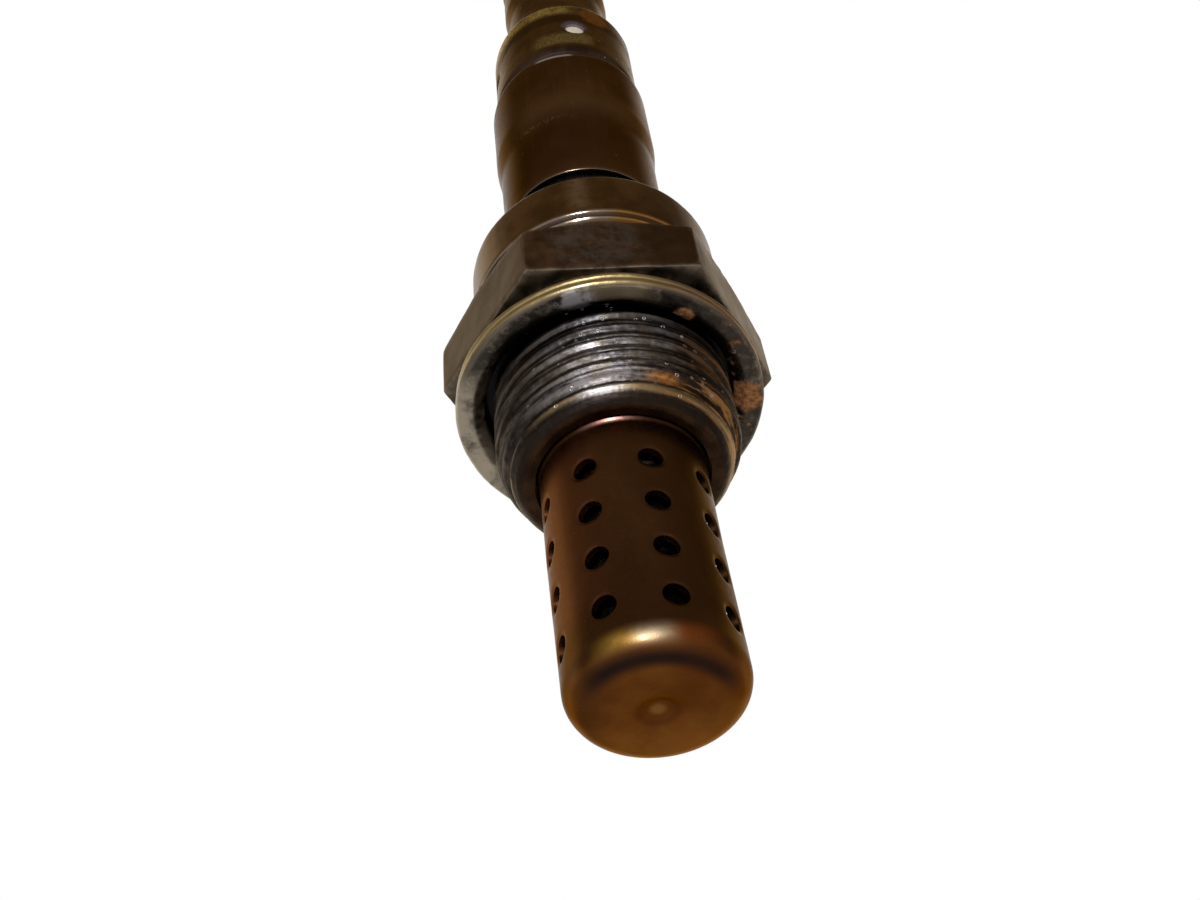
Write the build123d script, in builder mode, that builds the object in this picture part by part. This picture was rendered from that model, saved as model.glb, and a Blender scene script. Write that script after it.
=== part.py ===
from build123d import *

import os
from math import cos, hypot, radians, tan

# Heated zirconia oxygen sensor with an M18 x 1.5 mounting thread. Sizes in millimetres.
# The sensor's axis is Z, with the probe down and the lead end up. The origin is the
# centre of the gasket's sealing face. One flat of the hexagon faces -Y.

os.makedirs("parts", exist_ok=True)

# ---------------------------------------------------------------- threaded shell
THREAD_DIAMETER = 18.0
THREAD_LENGTH = 8.05
NOSE_LENGTH = 2.75
NOSE_ANGLE = 28.0
NOSE_CORNER = 0.4
THREAD_RUNOUT = 0.1
RELIEF_DEPTH = 0.85
LAND_SETBACK = 0.4
LAND_HEIGHT = 1.45
HEX_FLATS = 22.0
HEX_HEIGHT = 6.1
HEX_TOP_SETBACK = 0.4
HEX_CHAMFER_ANGLE = 30.0
GROOVE_DEPTH = 0.7
GROOVE_HEIGHT = 3.35
GROOVE_CORNER = 0.5
COLLAR_WALL = 1.75
COLLAR_HEIGHT = 5.15
COLLAR_FOOT_RADIUS = 0.35
COLLAR_TOP_RADIUS = 1.0
CRIMP_LIP_THICKNESS = 1.0
CRIMP_LIP_CLEARANCE = 0.15
UPPER_BORE_DIAMETER = 12.0
LOWER_BORE_DIAMETER = 9.0
LEDGE_Z = 0.6
LEDGE_ANGLE = 45.0
MOUTH_LIP_THICKNESS = 0.7
MOUTH_LIP_CLEARANCE = 0.35

# ---------------------------------------------------------------- folded seat gasket
GASKET_WIDTH = 2.6
GASKET_SHEET = 0.58
GASKET_SEAM = 0.14
GASKET_SEAM_DEPTH = 1.9
GASKET_RIM_RADIUS = 0.22
GASKET_FOLD_RADIUS = 0.5
GASKET_CLEARANCE = 0.2

# ---------------------------------------------------------------- probe shields
SHIELD_DIAMETER = 12.0
SHIELD_WALL = 0.5
SHIELD_REACH = 28.65
SHIELD_CORNER = 1.9
SHIELD_BEND = 0.3
SHIELD_FLANGE_WIDTH = 0.9
SHIELD_FLANGE_CLEARANCE = 0.1
DIMPLE_DIAMETER = 2.8
DIMPLE_FLOOR_DIAMETER = 1.5
DIMPLE_DEPTH = 0.35
GAS_HOLE_DIAMETER = 1.75
GAS_HOLE_COLUMNS = 8
GAS_HOLE_PITCH = 4.13
GAS_HOLE_FIRST_RISE = 4.4
GAS_HOLE_MARGIN = 1.5
GAS_HOLE_TURN = -78.0
INNER_SHIELD_DIAMETER = 9.2
INNER_SHIELD_WALL = 0.4
INNER_SHIELD_CORNER = 1.4
INNER_SHIELD_END_GAP = 1.9
INNER_HOLE_DIAMETER = 1.5
INNER_HOLE_COLUMNS = 6
INNER_HOLE_PITCH = 5.0
INNER_HOLE_FIRST_RISE = 4.5
INNER_HOLE_TURN = 14.0
INNER_END_HOLE_DIAMETER = 1.6

# ---------------------------------------------------------------- zirconia element and heater
ELEMENT_NECK_DIAMETER = 7.2
ELEMENT_TIP_DIAMETER = 6.0
ELEMENT_END_GAP = 4.2
ELEMENT_END_WALL = 0.9
ELEMENT_BORE = 3.6
SHOULDER_CLEARANCE = 0.15
SHOULDER_HEIGHT = 3.2
STUB_DIAMETER = 8.4
STUB_RISE = 3.4
WASHER_THICKNESS = 0.35
WASHER_WIDTH = 1.2
HEATER_DIAMETER = 3.0
HEATER_END_GAP = 0.25
HEATER_CHAMFER = 0.3
HEATER_RISE = 12.5
PAD_WIDTH = 1.2
PAD_HEIGHT = 3.6
PAD_THICKNESS = 0.06
PAD_INSET = 0.4

# ---------------------------------------------------------------- powder seal
TALC_HEIGHT = 4.2
SLEEVE_CLEARANCE = 0.12
PACKING_RING_THICKNESS = 0.8
PACKING_RING_CLEARANCE = 0.35
SEAT_CLEARANCE = 0.1

# ---------------------------------------------------------------- covers and sleeve
SHEET = 0.4
COVER_DIAMETER = 13.0
COVER_BEND = 0.5
COVER_FLANGE_WIDTH = 1.7
COVER_RISE = 25.55
SLEEVE_LIFT = 0.05
SLEEVE_FIT = 0.1
SLEEVE_GAP = 5.65
SLEEVE_WAIST_HEIGHT = 9.2
SLEEVE_FLARE_HEIGHT = 2.4
SLEEVE_FLARE_RADIUS = 3.0
SLEEVE_TOP_DROP = 0.4
SLEEVE_SHOULDER_RADIUS = 0.95
CAP_OVERLAP = 7.6
CAP_CRIMP_WIDTH = 1.2
CAP_CRIMP_DEPTH = 0.3
CAP_SKIRT_HEIGHT = 9.6
CAP_SHOULDER_HEIGHT = 0.8
CAP_SHOULDER_RADIUS = 1.9
CAP_NECK_DIAMETER = 10.4
CAP_NECK_HEIGHT = 7.4
CAP_BEAD_STEP = 0.3
CAP_BEAD_FLARE = 1.7
CAP_BEAD_HEIGHT = 6.4
CAP_WAIST_HEIGHT = 0.8
CAP_RIM_HEIGHT = 1.6
CAP_BEAD_RADIUS = 0.9
CAP_LIP_RADIUS = 0.8
CAP_LIP_REACH = 1.0
VENT_DIAMETER = 1.9
VENT_COUNT = 4
VENT_DROP = 5.45
VENT_TURN = -83.0
FILTER_THICKNESS = 0.4
FILTER_END_GAP = 0.3
SUPPORT_STAND_UP = 0.4

# ---------------------------------------------------------------- holder, spring and grommet
HOLDER_FLANGE_THICKNESS = 1.0
HOLDER_FLANGE_CLEARANCE = 0.1
HOLDER_STAND_OFF = 3.0
CAVITY_SIDE_CLEARANCE = 0.3
CAVITY_TOP_CLEARANCE = 1.5
PASSAGE_CLEARANCE = 0.03
PASSAGE_COUNT = 4
PASSAGE_TURN = 45.0
SPRING_SHEET = 0.5
SPRING_HEIGHT = 8.0
SPRING_FOOT_RISE = 5.0
SPRING_SLIT = 2.0
GROMMET_CLEARANCE = 0.1
GROMMET_FOOT_HEIGHT = 1.1
GROMMET_FOOT_INSET = 0.5
GROMMET_STAND_OUT = 0.8
GROMMET_EDGE = 0.3
LEAD_BORE = 2.1
LEAD_CIRCLE = 5.4

# ---------------------------------------------------------------- terminals
STRIP = 0.25
STRIP_WIDTH = 1.1
BAND_HEIGHT = 2.6
BAND_DROP = 0.3
BAND_SLIT = 2.4
CLIP_LENGTH = 12.0
CLIP_SLIT = 0.9
CLIP_FLANGE_MARGIN = 0.3
BARREL_DIAMETER = 1.9
BARREL_WALL = 0.3
BARREL_LENGTH = 4.5
BARREL_LAP = 0.15
BARREL_DROP = 2.4

# ---------------------------------------------------------------- levels of the shell
gasket_height = 2 * GASKET_SHEET + GASKET_SEAM
land_top = gasket_height + LAND_HEIGHT
hex_top = land_top + HEX_HEIGHT
collar_foot = hex_top + GROOVE_HEIGHT
collar_top = collar_foot + COLLAR_HEIGHT
shell_foot = -THREAD_LENGTH
crimp_foot = collar_top - CRIMP_LIP_THICKNESS
cover_foot = crimp_foot - SHEET
ring_foot = cover_foot - PACKING_RING_THICKNESS
mouth_top = shell_foot + MOUTH_LIP_THICKNESS
inner_flange_foot = mouth_top + SHIELD_WALL
pocket_top = inner_flange_foot + INNER_SHIELD_WALL

# ---------------------------------------------------------------- radii
thread_r = THREAD_DIAMETER / 2
nose_r = thread_r - NOSE_LENGTH * tan(radians(NOSE_ANGLE))
relief_r = thread_r - RELIEF_DEPTH
land_r = HEX_FLATS / 2 - LAND_SETBACK
hex_face_r = HEX_FLATS / 2 - HEX_TOP_SETBACK
lower_bore_r = LOWER_BORE_DIAMETER / 2
upper_bore_r = UPPER_BORE_DIAMETER / 2
shield_r = SHIELD_DIAMETER / 2
shield_mid_r = shield_r - SHIELD_WALL / 2
shield_flange_r = shield_r + SHIELD_FLANGE_WIDTH
inner_mid_r = (INNER_SHIELD_DIAMETER - INNER_SHIELD_WALL) / 2
pocket_r = shield_flange_r + SHIELD_FLANGE_CLEARANCE
mouth_r = shield_r + MOUTH_LIP_CLEARANCE
bore_r = ELEMENT_BORE / 2
stub_r = STUB_DIAMETER / 2
heater_r = HEATER_DIAMETER / 2
cover_r = COVER_DIAMETER / 2
cover_bore_r = cover_r - SHEET
cover_flange_r = cover_r + COVER_FLANGE_WIDTH
seat_r = cover_flange_r + SEAT_CLEARANCE
collar_r = seat_r + COLLAR_WALL
groove_r = collar_r - GROOVE_DEPTH
groove_corner = min(GROOVE_CORNER, 0.8 * (land_r - groove_r))
crimp_r = cover_r + COVER_BEND + CRIMP_LIP_CLEARANCE
cap_r = cover_r + SHEET
cap_mid_r = cap_r - SHEET / 2
neck_mid_r = (CAP_NECK_DIAMETER - SHEET) / 2
bead_mid_r = neck_mid_r + CAP_BEAD_STEP
cap_lip_r = bead_mid_r - CAP_LIP_REACH
sleeve_mid_r = cap_r + SLEEVE_LIFT + SHEET / 2
waist_mid_r = cover_r + SLEEVE_FIT + SHEET / 2
support_r = cover_r - FILTER_THICKNESS
holder_r = cover_bore_r - SPRING_SHEET
barrel_r = BARREL_DIAMETER / 2
passage_circle_r = stub_r + BARREL_LAP - barrel_r
passage_r = hypot(barrel_r + STRIP - BARREL_LAP, STRIP_WIDTH / 2) + PASSAGE_CLEARANCE
strip_r = passage_circle_r - barrel_r
clip_flange_r = strip_r + STRIP + CLIP_FLANGE_MARGIN
cavity_r = strip_r + STRIP + CAVITY_SIDE_CLEARANCE

# ---------------------------------------------------------------- levels of the seal stack
ledge_slope = tan(radians(LEDGE_ANGLE))
washer_lift = WASHER_THICKNESS / cos(radians(LEDGE_ANGLE))
ledge_top = LEDGE_Z + (upper_bore_r - lower_bore_r) * ledge_slope
shoulder_r = upper_bore_r - SHOULDER_CLEARANCE
shoulder_foot = LEDGE_Z + (shoulder_r - lower_bore_r) * ledge_slope + washer_lift
shoulder_top = shoulder_foot + SHOULDER_HEIGHT
talc_top = shoulder_top + TALC_HEIGHT
stub_top = collar_top + STUB_RISE
inner_shield_foot = -SHIELD_REACH + SHIELD_WALL + INNER_SHIELD_END_GAP
element_foot = inner_shield_foot + INNER_SHIELD_WALL + ELEMENT_END_GAP
bore_foot = element_foot + ELEMENT_END_WALL
heater_foot = bore_foot + bore_r + HEATER_END_GAP
heater_top = stub_top + HEATER_RISE

# ---------------------------------------------------------------- levels of the lead end
cover_top = collar_top + COVER_RISE
holder_foot = stub_top + HOLDER_STAND_OFF
holder_top = cover_top + HOLDER_FLANGE_THICKNESS
cavity_top = heater_top + CAVITY_TOP_CLEARANCE
sleeve_foot = collar_top + SLEEVE_GAP
sleeve_shoulder = cover_top - SLEEVE_TOP_DROP
cap_foot = cover_top - CAP_OVERLAP
cap_crimp_z = holder_top + CAP_CRIMP_WIDTH / 2
filter_foot = holder_top + CAP_CRIMP_WIDTH + FILTER_END_GAP
skirt_top = holder_top + CAP_CRIMP_WIDTH + CAP_SKIRT_HEIGHT
wall_top = skirt_top - CAP_SHOULDER_RADIUS
neck_z = skirt_top + CAP_SHOULDER_HEIGHT
bead_foot = neck_z + CAP_NECK_HEIGHT
bead_top = bead_foot + CAP_BEAD_HEIGHT
waist_top = bead_top + CAP_WAIST_HEIGHT
cap_top = waist_top + CAP_BEAD_FLARE + CAP_RIM_HEIGHT
support_top = wall_top + SUPPORT_STAND_UP
vent_z = skirt_top - VENT_DROP
barrel_top = cover_top - BARREL_DROP
barrel_foot = barrel_top - BARREL_LENGTH


# ================================================================ threaded shell
with BuildPart() as housing:
    with BuildSketch(Plane.XZ):
        with BuildLine():
            FilletPolyline(
                (0, shell_foot),
                (nose_r, shell_foot),
                (thread_r, shell_foot + NOSE_LENGTH),
                (thread_r, THREAD_RUNOUT),
                (relief_r, THREAD_RUNOUT + RELIEF_DEPTH),
                (relief_r, gasket_height),
                (land_r, gasket_height),
                (land_r, hex_top),
                (groove_r, hex_top),
                (groove_r, collar_foot),
                (collar_r, collar_foot),
                (collar_r, collar_top),
                (0, collar_top),
                radius=[NOSE_CORNER] + [0] * 7 + [groove_corner] * 2 + [COLLAR_FOOT_RADIUS, COLLAR_TOP_RADIUS, 0],
                close=True,
            )
        make_face()
    revolve(axis=Axis.Z)
    # the hexagon, with its corners turned off on the lead side
    with BuildSketch(Plane.XY.offset(land_top)):
        RegularPolygon(HEX_FLATS / 2, 6, major_radius=False)
    extrude(amount=HEX_HEIGHT)
    with BuildSketch(Plane.XZ):
        with BuildLine():
            Polyline(
                (hex_face_r, hex_top),
                (HEX_FLATS, hex_top),
                (HEX_FLATS, hex_top - (HEX_FLATS - hex_face_r) * tan(radians(HEX_CHAMFER_ANGLE))),
                close=True,
            )
        make_face()
    revolve(axis=Axis.Z, mode=Mode.SUBTRACT)
    # the stepped bore: mouth, shield pocket, conical ledge, seal bore and crimped seat
    with BuildSketch(Plane.XZ):
        with BuildLine():
            Polyline(
                (0, shell_foot),
                (mouth_r, shell_foot),
                (mouth_r, mouth_top),
                (pocket_r, mouth_top),
                (pocket_r, pocket_top),
                (lower_bore_r, pocket_top),
                (lower_bore_r, LEDGE_Z),
                (upper_bore_r, ledge_top),
                (upper_bore_r, ring_foot),
                (seat_r, ring_foot),
                (seat_r, crimp_foot),
                (crimp_r, crimp_foot),
                (crimp_r, collar_top),
                (0, collar_top),
                close=True,
            )
        make_face()
    revolve(axis=Axis.Z, mode=Mode.SUBTRACT)

housing.part.label = "housing"
export_step(housing.part, "parts/housing.step")


# ================================================================ folded seat gasket
with BuildPart() as gasket:
    gasket_bore_r = thread_r + GASKET_CLEARANCE
    with BuildSketch(Plane.XZ) as gasket_section:
        with Locations((gasket_bore_r, 0)):
            Rectangle(GASKET_WIDTH, gasket_height, align=(Align.MIN, Align.MIN))
        fillet(gasket_section.vertices().group_by(Axis.X)[0], GASKET_FOLD_RADIUS)
        with Locations((gasket_bore_r + GASKET_WIDTH, gasket_height / 2)):
            Rectangle(GASKET_SEAM_DEPTH, GASKET_SEAM, align=(Align.MAX, Align.CENTER), mode=Mode.SUBTRACT)
        fillet(gasket_section.vertices().group_by(Axis.X)[-1], GASKET_RIM_RADIUS)
    revolve(axis=Axis.Z)

gasket.part.label = "gasket"
export_step(gasket.part, "parts/gasket.step")


# ================================================================ outer probe shield
with BuildPart() as outer_shield:
    shield_end_z = -SHIELD_REACH + SHIELD_WALL / 2
    with BuildSketch(Plane.XZ):
        with BuildLine():
            FilletPolyline(
                (shield_flange_r, mouth_top + SHIELD_WALL / 2),
                (shield_mid_r, mouth_top + SHIELD_WALL / 2),
                (shield_mid_r, shield_end_z),
                (DIMPLE_DIAMETER / 2, shield_end_z),
                (DIMPLE_FLOOR_DIAMETER / 2, shield_end_z + DIMPLE_DEPTH),
                (0, shield_end_z + DIMPLE_DEPTH),
                radius=[SHIELD_BEND + SHIELD_WALL / 2, SHIELD_CORNER - SHIELD_WALL / 2, 0, 0],
            )
        trace(line_width=SHIELD_WALL)
    revolve(axis=Axis.Z)
    first_row = -SHIELD_REACH + GAS_HOLE_FIRST_RISE
    row_count = int((shell_foot - GAS_HOLE_MARGIN - first_row) / GAS_HOLE_PITCH) + 1
    gas_rows = [first_row + i * GAS_HOLE_PITCH for i in range(row_count)]
    with Locations(*[(0, 0, z) for z in gas_rows]):
        with PolarLocations(shield_mid_r, GAS_HOLE_COLUMNS, start_angle=GAS_HOLE_TURN):
            Cylinder(GAS_HOLE_DIAMETER / 2, 4 * SHIELD_WALL, rotation=(0, 90, 0), mode=Mode.SUBTRACT)

outer_shield.part.label = "outer_shield"
export_step(outer_shield.part, "parts/outer_shield.step")


# ================================================================ inner probe shield
with BuildPart() as inner_shield:
    inner_end_z = inner_shield_foot + INNER_SHIELD_WALL / 2
    inner_flange_z = inner_flange_foot + INNER_SHIELD_WALL / 2
    with BuildSketch(Plane.XZ):
        with BuildLine():
            FilletPolyline(
                (shield_flange_r, inner_flange_z),
                (inner_mid_r, inner_flange_z),
                (inner_mid_r, inner_end_z),
                (INNER_END_HOLE_DIAMETER / 2, inner_end_z),
                radius=[SHIELD_BEND + INNER_SHIELD_WALL / 2, INNER_SHIELD_CORNER - INNER_SHIELD_WALL / 2],
            )
        trace(line_width=INNER_SHIELD_WALL)
    revolve(axis=Axis.Z)
    first_inner_row = inner_shield_foot + INNER_HOLE_FIRST_RISE
    inner_row_count = int((shell_foot - GAS_HOLE_MARGIN - first_inner_row) / INNER_HOLE_PITCH) + 1
    inner_rows = [first_inner_row + i * INNER_HOLE_PITCH for i in range(inner_row_count)]
    with Locations(*[(0, 0, z) for z in inner_rows]):
        with PolarLocations(inner_mid_r, INNER_HOLE_COLUMNS, start_angle=INNER_HOLE_TURN):
            Cylinder(INNER_HOLE_DIAMETER / 2, 4 * INNER_SHIELD_WALL, rotation=(0, 90, 0), mode=Mode.SUBTRACT)

inner_shield.part.label = "inner_shield"
export_step(inner_shield.part, "parts/inner_shield.step")


# ================================================================ zirconia element
with BuildPart() as sensing_element:
    tip_r = ELEMENT_TIP_DIAMETER / 2
    neck_r = ELEMENT_NECK_DIAMETER / 2
    cone_foot_z = shoulder_foot - (shoulder_r - neck_r) * ledge_slope
    with BuildSketch(Plane.XZ):
        with BuildLine():
            tip_arc = RadiusArc((0, element_foot), (tip_r, element_foot + tip_r), -tip_r)
            Polyline(
                tip_arc @ 1,
                (neck_r, cone_foot_z),
                (shoulder_r, shoulder_foot),
                (shoulder_r, shoulder_top),
                (stub_r, shoulder_top),
                (stub_r, stub_top),
                (bore_r, stub_top),
                (bore_r, bore_foot + bore_r),
            )
            RadiusArc((bore_r, bore_foot + bore_r), (0, bore_foot), bore_r)
            Line((0, bore_foot), tip_arc @ 0)
        make_face()
    revolve(axis=Axis.Z)

sensing_element.part.label = "sensing_element"
export_step(sensing_element.part, "parts/sensing_element.step")


# ================================================================ conical washer under the element
with BuildPart() as element_washer:
    washer_r = shoulder_r - WASHER_WIDTH
    washer_z = LEDGE_Z + (washer_r - lower_bore_r) * ledge_slope
    with BuildSketch(Plane.XZ):
        with BuildLine():
            Polyline(
                (washer_r, washer_z),
                (shoulder_r, shoulder_foot - washer_lift),
                (shoulder_r, shoulder_foot),
                (washer_r, washer_z + washer_lift),
                close=True,
            )
        make_face()
    revolve(axis=Axis.Z)

element_washer.part.label = "element_washer"
export_step(element_washer.part, "parts/element_washer.step")


# ================================================================ pressed talc seal
with BuildPart() as talc_seal:
    with BuildSketch(Plane.XY.offset(shoulder_top)):
        Circle(upper_bore_r)
        Circle(stub_r, mode=Mode.SUBTRACT)
    extrude(amount=TALC_HEIGHT)

talc_seal.part.label = "talc_seal"
export_step(talc_seal.part, "parts/talc_seal.step")


# ================================================================ ceramic sleeve over the talc
with BuildPart() as ceramic_sleeve:
    with BuildSketch(Plane.XY.offset(talc_top)):
        Circle(upper_bore_r - SLEEVE_CLEARANCE)
        Circle(stub_r + SLEEVE_CLEARANCE, mode=Mode.SUBTRACT)
    extrude(amount=ring_foot - talc_top)

ceramic_sleeve.part.label = "ceramic_sleeve"
export_step(ceramic_sleeve.part, "parts/ceramic_sleeve.step")


# ================================================================ packing ring
with BuildPart() as packing_ring:
    with BuildSketch(Plane.XY.offset(ring_foot)):
        Circle(cover_flange_r)
        Circle(stub_r + PACKING_RING_CLEARANCE, mode=Mode.SUBTRACT)
    extrude(amount=PACKING_RING_THICKNESS)

packing_ring.part.label = "packing_ring"
export_step(packing_ring.part, "parts/packing_ring.step")


# ================================================================ heater rod
with BuildPart() as heater_rod:
    with BuildSketch(Plane.XY.offset(heater_foot)):
        Circle(heater_r)
    extrude(amount=heater_top - heater_foot)
    chamfer(heater_rod.edges().filter_by(GeomType.CIRCLE).sort_by(Axis.Z)[0], HEATER_CHAMFER)
    # the two printed pads that the supply strips are brazed to
    pad_angles = [PASSAGE_TURN + 360 / PASSAGE_COUNT, PASSAGE_TURN - 360 / PASSAGE_COUNT]
    for angle in pad_angles:
        with BuildSketch(Plane.XY.offset(heater_top - PAD_INSET - PAD_HEIGHT).rotated((0, 0, angle))):
            Rectangle(heater_r + PAD_THICKNESS, PAD_WIDTH, align=(Align.MIN, Align.CENTER))
        extrude(amount=PAD_HEIGHT)

heater_rod.part.label = "heater_rod"
export_step(heater_rod.part, "parts/heater_rod.step")


# ================================================================ terminal for the outer electrode
with BuildPart() as outer_terminal:
    band_foot = collar_top + BAND_DROP
    outer_angle = PASSAGE_TURN + 180
    outer_plane = Plane.XY.rotated((0, 0, outer_angle))
    with BuildSketch(outer_plane.offset(band_foot)):
        Circle(stub_r + STRIP)
        Circle(stub_r, mode=Mode.SUBTRACT)
        Rectangle(2 * stub_r, BAND_SLIT, align=(Align.MAX, Align.CENTER), mode=Mode.SUBTRACT)
    extrude(amount=BAND_HEIGHT)
    with BuildSketch(outer_plane.offset(band_foot)):
        with Locations((stub_r, 0)):
            Rectangle(STRIP, STRIP_WIDTH, align=(Align.MIN, Align.CENTER))
    extrude(amount=barrel_top - band_foot)
    with BuildSketch(outer_plane.offset(barrel_foot)):
        with Locations((passage_circle_r, 0)):
            Circle(barrel_r)
    extrude(amount=BARREL_LENGTH)
    with BuildSketch(outer_plane.offset(barrel_foot)):
        with Locations((passage_circle_r, 0)):
            Circle(barrel_r - BARREL_WALL)
    extrude(amount=BARREL_LENGTH, mode=Mode.SUBTRACT)

outer_terminal.part.label = "outer_terminal"
export_step(outer_terminal.part, "parts/outer_terminal.step")


# ================================================================ terminal for the inner electrode
with BuildPart() as inner_terminal:
    inner_plane = Plane.XY.rotated((0, 0, PASSAGE_TURN))
    with BuildSketch(inner_plane.offset(stub_top - CLIP_LENGTH)):
        Circle(bore_r)
    extrude(amount=CLIP_LENGTH)
    with BuildSketch(inner_plane.offset(stub_top)):
        Circle(clip_flange_r)
    extrude(amount=STRIP)
    with BuildSketch(inner_plane.offset(stub_top - CLIP_LENGTH)):
        Circle(heater_r)
        Rectangle(2 * clip_flange_r, CLIP_SLIT, align=(Align.MAX, Align.CENTER))
    extrude(amount=CLIP_LENGTH + STRIP, mode=Mode.SUBTRACT)
    with BuildSketch(inner_plane.offset(stub_top)):
        with Locations((strip_r, 0)):
            Rectangle(STRIP, STRIP_WIDTH, align=(Align.MIN, Align.CENTER))
    extrude(amount=barrel_top - stub_top)
    with BuildSketch(inner_plane.offset(barrel_foot)):
        with Locations((passage_circle_r, 0)):
            Circle(barrel_r)
    extrude(amount=BARREL_LENGTH)
    with BuildSketch(inner_plane.offset(barrel_foot)):
        with Locations((passage_circle_r, 0)):
            Circle(barrel_r - BARREL_WALL)
    extrude(amount=BARREL_LENGTH, mode=Mode.SUBTRACT)

inner_terminal.part.label = "inner_terminal"
export_step(inner_terminal.part, "parts/inner_terminal.step")


# ================================================================ the two heater terminals
for name, angle in zip(["heater_terminal_a", "heater_terminal_b"], pad_angles):
    with BuildPart() as heater_terminal:
        pad_plane = Plane.XY.rotated((0, 0, angle))
        pad_r = heater_r + PAD_THICKNESS
        with BuildSketch(pad_plane.offset(heater_top - PAD_INSET - PAD_HEIGHT)):
            with Locations((pad_r, 0)):
                Rectangle(STRIP, STRIP_WIDTH, align=(Align.MIN, Align.CENTER))
        extrude(amount=PAD_HEIGHT)
        with BuildSketch(pad_plane.offset(heater_top - PAD_INSET - STRIP)):
            with Locations((pad_r, 0)):
                Rectangle(strip_r + STRIP - pad_r, STRIP_WIDTH, align=(Align.MIN, Align.CENTER))
        extrude(amount=STRIP)
        with BuildSketch(pad_plane.offset(heater_top - PAD_INSET - STRIP)):
            with Locations((strip_r, 0)):
                Rectangle(STRIP, STRIP_WIDTH, align=(Align.MIN, Align.CENTER))
        extrude(amount=barrel_top - heater_top + PAD_INSET + STRIP)
        with BuildSketch(pad_plane.offset(barrel_foot)):
            with Locations((passage_circle_r, 0)):
                Circle(barrel_r)
        extrude(amount=BARREL_LENGTH)
        with BuildSketch(pad_plane.offset(barrel_foot)):
            with Locations((passage_circle_r, 0)):
                Circle(barrel_r - BARREL_WALL)
        extrude(amount=BARREL_LENGTH, mode=Mode.SUBTRACT)

    heater_terminal.part.label = name
    export_step(heater_terminal.part, f"parts/{name}.step")


# ================================================================ ceramic contact holder
with BuildPart() as contact_holder:
    with BuildSketch(Plane.XY.offset(holder_foot)):
        Circle(holder_r)
    extrude(amount=holder_top - holder_foot)
    with BuildSketch(Plane.XY.offset(cover_top)):
        Circle(cover_r - HOLDER_FLANGE_CLEARANCE)
    extrude(amount=HOLDER_FLANGE_THICKNESS)
    with BuildSketch(Plane.XY.offset(holder_foot)):
        Circle(cavity_r)
    extrude(amount=cavity_top - holder_foot, mode=Mode.SUBTRACT)
    with BuildSketch(Plane.XY.offset(holder_foot)):
        with PolarLocations(passage_circle_r, PASSAGE_COUNT, start_angle=PASSAGE_TURN):
            Circle(passage_r)
    extrude(amount=holder_top - holder_foot, mode=Mode.SUBTRACT)

contact_holder.part.label = "contact_holder"
export_step(contact_holder.part, "parts/contact_holder.step")


# ================================================================ slit spring round the holder
with BuildPart() as holder_spring:
    with BuildSketch(Plane.XY.offset(holder_foot + SPRING_FOOT_RISE)):
        Circle(cover_bore_r)
        Circle(holder_r, mode=Mode.SUBTRACT)
        Rectangle(COVER_DIAMETER, SPRING_SLIT, align=(Align.MIN, Align.CENTER), mode=Mode.SUBTRACT)
    extrude(amount=SPRING_HEIGHT)

holder_spring.part.label = "holder_spring"
export_step(holder_spring.part, "parts/holder_spring.step")


# ================================================================ lower cover, crimped into the collar
with BuildPart() as lower_cover:
    with BuildSketch(Plane.XZ):
        with BuildLine():
            FilletPolyline(
                (cover_flange_r, cover_foot + SHEET / 2),
                (cover_r - SHEET / 2, cover_foot + SHEET / 2),
                (cover_r - SHEET / 2, cover_top),
                radius=COVER_BEND,
            )
        trace(line_width=SHEET)
    revolve(axis=Axis.Z)

lower_cover.part.label = "lower_cover"
export_step(lower_cover.part, "parts/lower_cover.step")


# ================================================================ outer sleeve, turned in at both ends
with BuildPart() as outer_sleeve:
    with BuildSketch(Plane.XZ):
        with BuildLine():
            FilletPolyline(
                (waist_mid_r, sleeve_foot),
                (waist_mid_r, sleeve_foot + SLEEVE_WAIST_HEIGHT),
                (sleeve_mid_r, sleeve_foot + SLEEVE_WAIST_HEIGHT + SLEEVE_FLARE_HEIGHT),
                (sleeve_mid_r, sleeve_shoulder + SLEEVE_SHOULDER_RADIUS - SHEET / 2),
                (cover_bore_r, sleeve_shoulder + SLEEVE_SHOULDER_RADIUS - SHEET / 2),
                radius=[SLEEVE_FLARE_RADIUS, SLEEVE_FLARE_RADIUS, SLEEVE_SHOULDER_RADIUS - SHEET / 2],
            )
        trace(line_width=SHEET)
        # the turned-in edge stops where it grips the cap
        with Locations((0, sleeve_shoulder)):
            Rectangle(cap_r, SLEEVE_SHOULDER_RADIUS, align=(Align.MIN, Align.MIN), mode=Mode.SUBTRACT)
    revolve(axis=Axis.Z)

outer_sleeve.part.label = "outer_sleeve"
export_step(outer_sleeve.part, "parts/outer_sleeve.step")


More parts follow.
